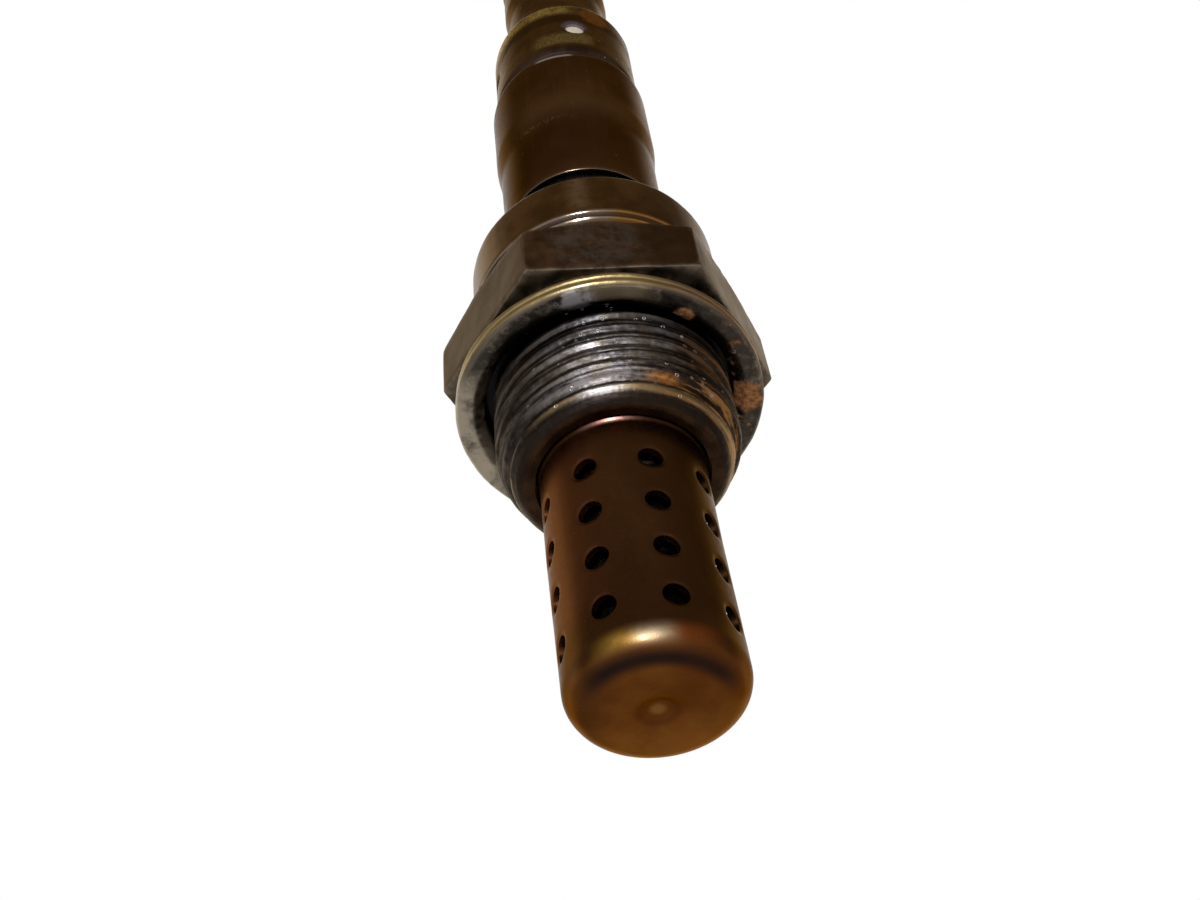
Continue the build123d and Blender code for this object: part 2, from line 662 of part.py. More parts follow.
# ================================================================ cap over the vents and the grommet
with BuildPart() as upper_cover:
    with BuildSketch(Plane.XZ):
        with BuildLine():
            FilletPolyline(
                (cap_mid_r, cap_foot),
                (cap_mid_r, cap_crimp_z - CAP_CRIMP_WIDTH / 2),
                (cap_mid_r - CAP_CRIMP_DEPTH, cap_crimp_z),
                (cap_mid_r, cap_crimp_z + CAP_CRIMP_WIDTH / 2),
                (cap_mid_r, skirt_top),
                (neck_mid_r, neck_z),
                (neck_mid_r, bead_foot),
                (bead_mid_r, bead_foot + CAP_BEAD_FLARE),
                (bead_mid_r, bead_top - CAP_BEAD_FLARE),
                (neck_mid_r, bead_top),
                (neck_mid_r, waist_top),
                (bead_mid_r, waist_top + CAP_BEAD_FLARE),
                (bead_mid_r, cap_top - SHEET / 2),
                (cap_lip_r, cap_top - SHEET / 2),
                radius=[0, 0.3, 0, CAP_SHOULDER_RADIUS, 0.3] + [CAP_BEAD_RADIUS] * 6 + [CAP_LIP_RADIUS],
            )
        trace(line_width=SHEET)
    revolve(axis=Axis.Z)
    with Locations((0, 0, vent_z)):
        with PolarLocations(cap_mid_r, VENT_COUNT, start_angle=VENT_TURN):
            Cylinder(VENT_DIAMETER / 2, 3 * SHEET, rotation=(0, 90, 0), mode=Mode.SUBTRACT)

upper_cover.part.label = "upper_cover"
export_step(upper_cover.part, "parts/upper_cover.step")


# ================================================================ vent filter and its support
with BuildPart() as vent_filter:
    with BuildSketch(Plane.XY.offset(filter_foot)):
        Circle(cover_r)
        Circle(support_r, mode=Mode.SUBTRACT)
    extrude(amount=wall_top - FILTER_END_GAP - filter_foot)

vent_filter.part.label = "vent_filter"
export_step(vent_filter.part, "parts/vent_filter.step")

with BuildPart() as filter_support:
    with BuildSketch(Plane.XY.offset(holder_top)):
        Circle(support_r)
        Circle(support_r - SHEET, mode=Mode.SUBTRACT)
    extrude(amount=support_top - holder_top)
    with Locations((0, 0, vent_z)):
        with PolarLocations(support_r - SHEET / 2, VENT_COUNT, start_angle=VENT_TURN):
            Cylinder(VENT_DIAMETER / 2, 3 * SHEET, rotation=(0, 90, 0), mode=Mode.SUBTRACT)

filter_support.part.label = "filter_support"
export_step(filter_support.part, "parts/filter_support.step")


# ================================================================ grommet with four lead bores
with BuildPart() as grommet:
    grommet_r = neck_mid_r - SHEET / 2 - GROMMET_CLEARANCE
    boss_r = cap_lip_r - GROMMET_CLEARANCE
    foot_r = cover_r - GROMMET_FOOT_INSET
    foot_top = support_top + GROMMET_FOOT_HEIGHT
    cone_top = foot_top + (foot_r - grommet_r) * (neck_z - skirt_top) / (cap_mid_r - neck_mid_r)
    with BuildSketch(Plane.XZ):
        with BuildLine():
            Polyline(
                (0, support_top),
                (foot_r, support_top),
                (foot_r, foot_top),
                (grommet_r, cone_top),
                (grommet_r, cap_top - SHEET - GROMMET_CLEARANCE),
                (boss_r, cap_top - SHEET - GROMMET_CLEARANCE),
                (boss_r, cap_top + GROMMET_STAND_OUT - GROMMET_EDGE),
                (boss_r - GROMMET_EDGE, cap_top + GROMMET_STAND_OUT),
                (0, cap_top + GROMMET_STAND_OUT),
                close=True,
            )
        make_face()
    revolve(axis=Axis.Z)
    with BuildSketch(Plane.XY.offset(support_top)):
        with PolarLocations(LEAD_CIRCLE / 2, PASSAGE_COUNT, start_angle=PASSAGE_TURN):
            Circle(LEAD_BORE / 2)
    extrude(amount=cap_top + GROMMET_STAND_OUT - support_top, mode=Mode.SUBTRACT)

grommet.part.label = "grommet"
export_step(grommet.part, "parts/grommet.step")
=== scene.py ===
import bmesh, bpy, math
import numpy as np
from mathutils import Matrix, Quaternion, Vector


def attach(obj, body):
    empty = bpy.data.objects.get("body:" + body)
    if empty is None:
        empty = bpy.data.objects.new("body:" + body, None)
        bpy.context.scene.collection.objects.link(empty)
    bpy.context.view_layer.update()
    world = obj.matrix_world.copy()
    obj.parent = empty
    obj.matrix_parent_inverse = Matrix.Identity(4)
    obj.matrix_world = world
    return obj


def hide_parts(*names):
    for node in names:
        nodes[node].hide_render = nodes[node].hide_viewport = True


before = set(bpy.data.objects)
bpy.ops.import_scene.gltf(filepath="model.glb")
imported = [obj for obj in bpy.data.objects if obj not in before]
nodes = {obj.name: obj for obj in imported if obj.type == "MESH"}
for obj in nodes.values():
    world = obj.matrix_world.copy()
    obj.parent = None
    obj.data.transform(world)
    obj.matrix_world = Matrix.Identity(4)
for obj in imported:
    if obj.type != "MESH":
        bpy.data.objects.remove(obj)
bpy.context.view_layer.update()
MM = 0.001
TAU = 2 * math.pi

# ================================================================ camera, fitted to the photograph
SENSOR_WIDTH, LENS = 36.0, 44.013
CAMERA_PLACE = (-10.272, -71.615, -83.801)
CAMERA_TURN = (0.357936, 0.932567, 0.005546, -0.046587)

scene = bpy.context.scene
scene.view_settings.view_transform = "Standard"
cam_data = bpy.data.cameras.new("camera")
cam = bpy.data.objects.new("camera", cam_data)
scene.collection.objects.link(cam)
scene.camera = cam
cam_data.sensor_fit = "HORIZONTAL"
cam_data.sensor_width = SENSOR_WIDTH
cam_data.lens = LENS
cam_data.clip_start, cam_data.clip_end = 0.001, 20
cam.location = Vector(CAMERA_PLACE) * MM
cam.rotation_mode = "QUATERNION"
cam.rotation_quaternion = Quaternion(CAMERA_TURN)

# ================================================================ mesh helpers (millimetres)
HASH_FACTORS = (73856093, 19349663, 83492791)
MERGE_DIST, DEGENERATE_DIST = 2e-7, 1e-8  # metres


def noise3(p, size, seed=0):
    """Smooth lattice noise in -1..1 at points p (..., 3), with cells of the given size."""
    q = p / size + 17.3 * (seed + 1)
    i = np.floor(q).astype(np.int64)
    f = q - i
    f = f * f * (3 - 2 * f)
    out = 0.0
    for corner in np.ndindex(2, 2, 2):
        h, w = 0, 1.0
        for k, far in enumerate(corner):
            h = h ^ (i[..., k] + far) * HASH_FACTORS[k]
            w = w * (f[..., k] if far else 1 - f[..., k])
        h = (h ^ (h >> 13)) * 1274126177 & 0x7FFFFFFF
        h = (h ^ (h >> 16)) & 0xFFFF
        out = out + w * (h / 32767.5 - 1)
    return out


def polar(r, th, z):
    """Points (..., 3) at radius r, angle th and height z, which are broadcast together."""
    r, th, z = np.broadcast_arrays(r, th, z)
    return np.stack([r * np.cos(th), r * np.sin(th), z], -1)


def push(v, amount):
    """Moves points away from the axis by amount."""
    r = np.maximum(np.hypot(v[..., 0], v[..., 1]), 1e-6)
    k = (r + amount) / r
    return np.stack([v[..., 0] * k, v[..., 1] * k, v[..., 2]], -1)


def rounded(points, radii, step):
    """A polyline (r, z) whose inner corners are arcs of the given radii, step degrees apart."""
    out = [np.array(points[0], float)]
    for a, b, c, r in zip(points, points[1:], points[2:], radii):
        a, b, c = (np.array(v, float) for v in (a, b, c))
        u, v = (a - b) / np.linalg.norm(a - b), (c - b) / np.linalg.norm(c - b)
        corner = math.acos(max(-1, min(1, float(u @ v))))
        if r <= 0 or corner > math.pi - 1e-4:
            out.append(b)
            continue
        t = r / math.tan(corner / 2)
        centre = b + (u + v) / np.linalg.norm(u + v) * r / math.sin(corner / 2)
        p, q = b + u * t - centre, b + v * t - centre
        sweep = math.pi - corner
        side = 1 if p[0] * q[1] - p[1] * q[0] > 0 else -1
        parts = int(math.degrees(sweep) / step) + 1
        for k in range(parts + 1):
            w = side * sweep * k / parts
            co, si = math.cos(w), math.sin(w)
            out.append(centre + np.array([p[0] * co - p[1] * si, p[0] * si + p[1] * co]))
    out.append(np.array(points[-1], float))
    keep = [out[0]]
    for p in out[1:]:
        if np.linalg.norm(p - keep[-1]) > 1e-4:
            keep.append(p)
    return np.array(keep)


def refine(prof, step):
    """Splits the long runs of a profile, so that the surface can carry dents."""
    out = [prof[0]]
    for a, b in zip(prof, prof[1:]):
        n = max(1, int(math.ceil(np.linalg.norm(b - a) / step)))
        out += [a + (b - a) * k / n for k in range(1, n + 1)]
    return np.array(out)


def grid_faces(rows, cols, wrap_rows):
    """Quads of a grid of points whose rows are closed round."""
    faces = []
    for j in range(rows if wrap_rows else rows - 1):
        a, b = j * cols, (j + 1) % rows * cols
        for i in range(cols):
            k = (i + 1) % cols
            faces.append((a + i, a + k, b + k, b + i))
    return faces


def revolve(prof, cols, shift):
    """Vertices and faces of a closed section turned round Z; shift(points) moves them."""
    th = np.arange(cols) / cols * TAU
    v = shift(polar(prof[:, 0][:, None], th[None, :], prof[:, 1][:, None]))
    return v.reshape(-1, 3), grid_faces(len(prof), cols, True)


def make(name, verts, faces, node, slot, sharp):
    """A mesh object in place of a node's solid; edges over sharp degrees stay sharp."""
    mesh = bpy.data.meshes.new(name)
    mesh.from_pydata((np.asarray(verts) * MM).tolist(), [], faces)
    bm = bmesh.new()
    bm.from_mesh(mesh)
    bmesh.ops.remove_doubles(bm, verts=bm.verts, dist=MERGE_DIST)
    bmesh.ops.dissolve_degenerate(bm, edges=bm.edges, dist=DEGENERATE_DIST)
    bmesh.ops.recalc_face_normals(bm, faces=bm.faces)
    bm.to_mesh(mesh)
    bm.free()
    mesh.shade_smooth()
    mesh.set_sharp_from_angle(angle=math.radians(sharp))
    obj = bpy.data.objects.new(name, mesh)
    scene.collection.objects.link(obj)
    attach(obj, "root")
    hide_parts(node)
    return obj


# ================================================================ shell: nose, thread, hexagon, collar
PITCH = 1.5
R_THREAD, Z_NOSE, Z_FOOT, Z_RUN = 9.0, -5.3, -8.05, 0.1
NOSE_SLOPE = math.tan(math.radians(28))
THREAD_DEPTH = 0.34
CREST, FLANK = 0.30, 0.52  # as shares of half a turn
SEAM = 0.10  # depth in mm, and width as a share of half a turn
NOSE_ROUND = 0.75
HEX_R, HEX_FOOT, HEX_TOP = 11.0, 2.75, 8.85
HEX_ANGLES = np.arange(6) * 60 - 90.0
HEX_WORN = 0.16
HEX_EDGE = 0.13
CORNER_CUT = math.tan(math.radians(30))
R_LAND, R_GROOVE, R_MOUTH = 10.6, 9.35, 6.35
SHELL_COLS = 480
ROWS_PER_TURN = 18


def thread_r(th, z):
    """Radius of the threaded part: a shallow, worn, right-hand helix that runs out on the nose."""
    env = np.where(z < Z_NOSE, R_THREAD - (Z_NOSE - z) * NOSE_SLOPE, R_THREAD)
    ph = (z / PITCH - th / TAU) % 1.0
    # 0 in the middle of the crest and 1 at the root
    x = np.abs(ph - 0.5) * 2
    form = np.clip((x - CREST) / FLANK, 0, 1)
    form = form * form * (3 - 2 * form)
    p = polar(env, th, z)
    worn = 0.5 + 0.5 * noise3(p, 2.6, 3)
    crest = np.clip(1 - x / CREST, 0, 1)
    depth = THREAD_DEPTH * np.clip((z + 7.7) / 1.6, 0, 1) * np.clip((Z_RUN - z) / 0.5, 0, 1) ** 0.7
    r = env - depth * form * (0.72 + 0.28 * worn)
    # rolled threads have a fine seam along the middle of the crest
    r -= SEAM * np.exp(-(x / SEAM) ** 2) * depth / THREAD_DEPTH * (0.2 + 0.6 * worn)
    r -= 0.05 * worn * crest * (depth > 0.02)
    r += 0.018 * noise3(p, 0.35, 5) * (0.4 + 0.6 * form) + 0.012 * noise3(p, 0.16, 7)
    # one worn ring, with a groove above it, where the nose turns in
    r += 0.07 * np.exp(-((z + 7.05) / 0.2) ** 2) - 0.06 * np.exp(-((z + 6.5) / 0.16) ** 2)
    # the lower edge of the nose is rounded
    k = np.clip((Z_FOOT + NOSE_ROUND - z) / NOSE_ROUND, 0, 1)
    return r - NOSE_ROUND * (1 - np.sqrt(1 - 0.98 * k * k))


def hex_r(th):
    """Distance of the hexagon's wall from the axis, with its corners slightly worn."""
    a = np.degrees(th)[..., None] - HEX_ANGLES
    a = (a + 180) % 360 - 180
    c = np.cos(np.radians(a))
    d = np.where(c > 0.3, HEX_R / np.maximum(c, 0.3), 99)
    s = np.sort(d, -1)
    # a smooth minimum of the two nearest walls rounds the corner
    h = np.clip(0.5 + 0.5 * (s[..., 1] - s[..., 0]) / HEX_WORN, 0, 1)
    return s[..., 0] * h + s[..., 1] * (1 - h) - HEX_WORN * h * (1 - h)


def collar_profile():
    """Groove, hollow foot of the collar with its fine lip, and the collar's rounded top."""
    groove = rounded([(R_LAND, HEX_TOP), (R_GROOVE, HEX_TOP), (R_GROOVE, 10.75)], [0.5], 12)
    t = np.radians(np.arange(0, 56, 5))
    hollow = np.stack([R_GROOVE + 1.2 * (1 - np.cos(t)), 10.8 + 1.2 * np.sin(t)], 1)
    t = t[::-1]
    lip = np.stack([10.05 - 0.45 * (1 - np.cos(t)), 12.152 - 0.45 * np.sin(t)], 1)
    top = rounded([(10.05, 12.16), (10.05, 17.35), (7.15, 17.35), (7.15, 16.35)], [1.0, 0.12], 12)
    return refine(np.concatenate([groove, hollow, lip[1:], top]), 0.9)[1:]


def shell_rows(th):
    """Radii and heights of the rings from the thread's upper end over the collar to the mouth."""
    radii, heights = [], []

    def row(r, z):
        radii.append(r + 0 * th)
        heights.append(z + 0 * th)

    row(thread_r(th, Z_RUN + 0 * th), Z_RUN)
    land = [(8.98, 0.12), (8.15, 0.95), (8.15, 1.3), (R_LAND, 1.3), (R_LAND, 2.74)]
    for r, z in rounded(land, [0.15, 0.1, 0.12], 30)[1:]:
        row(r, z)
    row(10.62, HEX_FOOT)
    hr = hex_r(th)
    for f in (0.0, 0.45, 1.0):
        row(10.66 + (hr - HEX_EDGE - 10.66) * f, HEX_FOOT)
    row(hr - 0.3 * HEX_EDGE, HEX_FOOT + 0.3 * HEX_EDGE)
    row(hr, HEX_FOOT + HEX_EDGE)
    # the corners are turned off on the lead side
    cut = HEX_TOP - (hr - R_LAND) * CORNER_CUT
    for f in np.linspace(0, 1, 9)[1:-1]:
        row(hr, HEX_FOOT + HEX_EDGE + (cut - 0.08 - HEX_FOOT - HEX_EDGE) * f)
    row(hr, cut - 0.08)
    row(hr - 0.05, cut + 0.02)
    for f in (0.35, 0.7, 1.0):
        row(hr - 0.05 + (R_LAND - hr + 0.05) * f, cut + 0.02 + (HEX_TOP - cut - 0.02) * f)
    bore = [(8.3, 16.35), (8.3, 15.15), (6.0, 15.15), (6.0, 2.1), (4.5, 0.6), (4.5, -6.45),
            (7.0, -6.45), (7.0, -7.35), (R_MOUTH, -7.35), (R_MOUTH, -8.05)]
    for r, z in list(collar_profile()) + bore:
        row(r, z)
    foot_r = thread_r(th, Z_FOOT + 0 * th)
    for f in (0.4, 0.8, 1.0):
        row(R_MOUTH + (foot_r - R_MOUTH) * f, Z_FOOT)
    return np.array(radii), np.array(heights), cut


def shell():
    cols, per = SHELL_COLS, ROWS_PER_TURN
    th = np.arange(cols) / cols * TAU
    radii, heights, cut = shell_rows(th)
    v = polar(radii, th, heights)
    wear = 0.022 * noise3(v, 1.3, 11) + 0.012 * noise3(v, 0.5, 12)
    foot_edge = np.abs(heights - HEX_FOOT - 0.5 * HEX_EDGE) < 0.25
    edge = foot_edge | (np.abs(heights - cut) < 0.2)
    wear = np.where(edge, 1.6 * wear, 0.6 * wear)
    wear[(heights < 2.7) | (radii < 7.0)] = 0
    wear[0] = wear[-1] = 0
    verts = [push(v, wear).reshape(-1, 3)]
    faces = grid_faces(len(radii), cols, False)
    # threaded part: rows that follow the helix, clamped at both ends
    base = len(radii) * cols
    turns = (Z_RUN - Z_FOOT) / PITCH + 1
    n = int(math.ceil(turns * per)) + 1
    j = np.arange(n)[:, None]
    zz = np.clip(Z_FOOT - PITCH + j * PITCH / per + th[None, :] / TAU * PITCH, Z_FOOT, Z_RUN)
    rr = thread_r(th[None, :] + 0 * zz, zz)
    verts.append(polar(rr, th, zz).reshape(-1, 3))
    for a in range(n - 1):
        for b in range(cols):
            # the last column joins the first one a whole turn further up
            a2, b2 = (a, b + 1) if b < cols - 1 else (a + per, 0)
            if a2 + 1 > n - 1:
                continue
            quad = ((a, b), (a2, b2), (a2 + 1, b2), (a + 1, b))
            zs = [zz[point] for point in quad]
            if max(zs) - min(zs) >= 1e-7:
                faces.append(tuple(base + row * cols + col for row, col in quad))
    return np.concatenate(verts), faces


shell_obj = make("threaded_shell", *shell(), "housing", "shell_steel", 32)

# ================================================================ folded gasket
GASKET_OFF, GASKET_DROP, GASKET_TILT = 0.15, 0.30, 0.022


def gasket_shift(v):
    dent = 0.035 * noise3(v, 2.2, 21) + 0.02 * noise3(v, 0.7, 22)
    out = push(v, np.where(np.hypot(v[..., 0], v[..., 1]) > 10.5, dent - 0.03, 0))
    sag = 0.05 * np.maximum(0, noise3(v, 3.0, 23))
    out[..., 2] += np.where(v[..., 2] < 0.2, 0.02 + sag, 0)
    # the gasket is loose on the shell: a little off centre, low and tilted
    out[..., 0] -= GASKET_OFF
    out[..., 2] -= GASKET_DROP + GASKET_TILT * v[..., 1]
    return out


# two layers of one sheet, with an open seam at the outer edge
gasket = rounded([(9.42, 0.85), (9.42, 1.28), (11.7, 1.28), (11.7, 0.78), (11.3, 0.78), (11.3, 0.66),
                  (11.7, 0.66), (11.7, 0.0), (10.3, 0.0), (9.42, 0.6), (9.42, 0.85)],
                 [0.35, 0.18, 0.3, 0.05, 0.05, 0.12, 0.42, 0.7, 0.3], 12)[:-1]
gasket_mesh = revolve(refine(gasket, 0.35), 360, gasket_shift)
gasket_obj = make("seat_gasket", *gasket_mesh, "gasket", "gasket_steel", 60)

# ================================================================ pierced sheets
# how far each ring of a cell lies on the way from the hole's edge to the cell's border
CELL_RINGS = (0.0, 0.03, 0.07, 0.13, 0.22, 0.36, 0.56, 0.78, 1.0)
DISH_REACH = 0.16


def levels(mid, rows, cell):
    """Adds points to a mid-line at the heights where the cells of the holes begin and end."""
    pts = [tuple(p) for p in mid]
    for z in sorted(row + end * cell / 2 for row in rows for end in (-1, 1)):
        for i in range(len(pts) - 1):
            a, b = pts[i], pts[i + 1]
            if (a[1] - z) * (b[1] - z) < -1e-12:
                t = (z - a[1]) / (b[1] - a[1])
                pts.insert(i + 1, (a[0] + (b[0] - a[0]) * t, z))
                break
    return np.array(pts)


def pierced(mid, wall, rows, hole_r, columns, turn, cell, per_side, dish, shift):
    """A sheet turned round Z from a mid-line that has a straight wall where its holes are.

    Each hole has a cell of its own, whose rings run from the round edge to the cell's border.
    The border has per_side points on each side, and dish is the depth of the hole's sunken edge."""
    d = np.gradient(mid, axis=0)
    d /= np.linalg.norm(d, axis=1)[:, None]
    nrm = np.stack([d[:, 1], -d[:, 0]], 1)
    if nrm[len(nrm) // 2, 0] < 0:
        nrm = -nrm
    outer, inner = mid + nrm * wall / 2, mid - nrm * wall / 2
    cols = columns * per_side
    half_cell = math.pi / columns
    th = math.radians(turn) - half_cell + np.arange(cols) / cols * TAU
    verts, faces = [], []

    def add(grid):
        base = sum(len(a) for a in verts)
        verts.append(grid.reshape(-1, 3))
        quads = grid_faces(grid.shape[0], grid.shape[1], False)
        faces.extend(tuple(base + k for k in q) for q in quads)

    # plain rings on both faces, cut where the cells lie
    reach = cell / 2
    in_cell = [any(row - reach + 1e-6 < z < row + reach - 1e-6 for row in rows) for z in mid[:, 1]]
    for face in (outer, inner):
        runs = [[]]
        for p, hidden in zip(face, in_cell):
            if hidden:
                runs.append([])
            else:
                runs[-1].append(p)
        for run in runs:
            if len(run) > 1:
                run = np.array(run)
                add(polar(run[:, 0][:, None], th, run[:, 1][:, None]))
    # the sheet's two ends
    for k in (0, -1):
        end = np.array([outer[k], inner[k]])
        add(polar(end[:, 0][:, None], th, end[:, 1][:, None]))
    # the cells: border of the outer face, hole, border of the inner face
    r_mid = mid[np.argmin(np.abs(mid[:, 1] - rows[0]))][0]
    go, stay = np.arange(per_side) / per_side * 2 - 1, np.ones(per_side)
    across = np.concatenate([go, stay, -go, -stay])
    up = np.concatenate([-stay, go, stay, -go])
    ang = np.arctan2(up, across)
    for row in rows:
        for c in range(columns):
            mid_angle = math.radians(turn) + c * TAU / columns
            rings = []
            for r_face, share in ((r_mid + wall / 2, 1), (r_mid - wall / 2, 0.3)):
                for e in CELL_RINGS:
                    u = (1 - e) * hole_r * np.cos(ang) / r_mid + e * across * half_cell
                    w = (1 - e) * hole_r * np.sin(ang) + e * up * cell / 2
                    dist = np.maximum(0, np.hypot(u * r_mid, w) - hole_r)
                    dip = dish * np.exp(-(dist / DISH_REACH) ** 2) * share
                    rings.append(polar(r_face - dip, mid_angle + u, row + w))
            n = len(CELL_RINGS)
            halfway = rings[0] + (rings[n] - rings[0]) * 0.5
            add(np.array(rings[:n][::-1] + [halfway] + rings[n:]))
    return shift(np.concatenate(verts)), faces


# outer probe shield, with a dimple in its end
GAS_ROWS = [-24.25 + 4.13 * i for i in range(4)]
GAS_CELL = 3.9
SHIELD_LEAN, SHIELD_LEAN_FROM = 0.016, -16.0

shield_mid = rounded([(6.9, -7.1), (5.98, -7.1), (5.98, -7.8), (5.75, -8.2), (5.75, -28.4),
                      (1.75, -28.4), (0.85, -28.12), (0.001, -28.12)],
                     [0.28, 0.3, 0.8, 1.85, 1.0, 0.8], 6)
shield_mid = levels(refine(shield_mid, 0.7), GAS_ROWS, GAS_CELL)


def shield_shift(v):
    out = push(v, 0.02 * noise3(v, 5.0, 31) + 0.006 * noise3(v, 1.2, 32))
    # the shield stands a little out of line with the shell
    out[..., 0] += SHIELD_LEAN * np.maximum(0, SHIELD_LEAN_FROM - v[..., 2])
    return out


shield_mesh = pierced(shield_mid, wall=0.5, rows=GAS_ROWS, hole_r=0.875, columns=8, turn=-78.0,
                      cell=GAS_CELL, per_side=20, dish=0.10, shift=shield_shift)
shield_obj = make("pierced_shield", *shield_mesh, "outer_shield", "shield_steel", 50)

# ================================================================ sleeve and cap
BURR_ANGLE, BURR_Z, BURR_HEIGHT = -160, 43.3, 0.22
VENT_ROWS, VENT_CELL = [49.25], 4.8
CAP_LEAN, CAP_LEAN_FROM, CAP_LEAN_OVER = 0.011, 42.0, 16


def sleeve_shift(v):
    a = np.degrees(np.arctan2(v[..., 1], v[..., 0]))
    d = 0.03 * noise3(v, 6.0, 41) + 0.01 * noise3(v, 1.8, 42)
    burr = np.exp(-((a - BURR_ANGLE) / 2.2) ** 2 - ((v[..., 2] - BURR_Z) / 0.35) ** 2)
    return push(v, np.where(v[..., 2] < 42.4, d, 0.3 * d) + BURR_HEIGHT * burr)


# the upper corner's radius is larger than the edge it rounds, so the section folds over itself
# there, inside the cap's wall
sleeve = rounded([(7.0, 23.12), (7.0, 32.0), (7.33, 34.8), (7.36, 43.42), (6.92, 43.42), (6.92, 43.0),
                  (6.98, 42.6), (6.98, 34.9), (6.62, 32.2), (6.62, 23.12), (6.7, 23.02), (6.92, 23.02),
                  (7.0, 23.12)],
                 [4.0, 4.0, 0.85, 0.06, 0.1, 0.1, 3.0, 3.0, 0.04, 0.05, 0.05], 8)[:-1]
sleeve_mesh = revolve(refine(sleeve, 0.45), 240, sleeve_shift)
sleeve_obj = make("outer_sleeve_skin", *sleeve_mesh, "outer_sleeve", "sleeve_steel", 50)

# crimp, breather holes, shoulder, neck, rolled bead and lip
cap_mid = rounded([(6.7, 35.3), (6.7, 43.9), (6.4, 44.5), (6.7, 45.1), (6.7, 54.7), (4.87, 55.5),
                   (4.9, 57.4), (4.76, 59.4), (4.85, 63.0), (5.22, 65.0), (5.22, 68.0), (5.02, 69.5),
                   (5.02, 70.3), (5.28, 71.8), (5.28, 73.2), (4.3, 73.2)],
                  [0.5, 0.3, 0.5, 1.9, 0.3] + [0.9] * 8 + [0.8], 8)
cap_mid = levels(refine(cap_mid, 0.8), VENT_ROWS, VENT_CELL)


def cap_shift(v):
    out = push(v, 0.03 * noise3(v, 4.0, 51) + 0.012 * noise3(v, 1.3, 52))
    # the cap leans a little
    out[..., 0] += CAP_LEAN * np.clip(v[..., 2] - CAP_LEAN_FROM, 0, CAP_LEAN_OVER)
    return out


cap_mesh = pierced(cap_mid, wall=0.4, rows=VENT_ROWS, hole_r=0.95, columns=4, turn=-83.0,
                   cell=VENT_CELL, per_side=54, dish=0.12, shift=cap_shift)
cap_obj = make("vented_cap", *cap_mesh, "upper_cover", "cap_steel", 50)


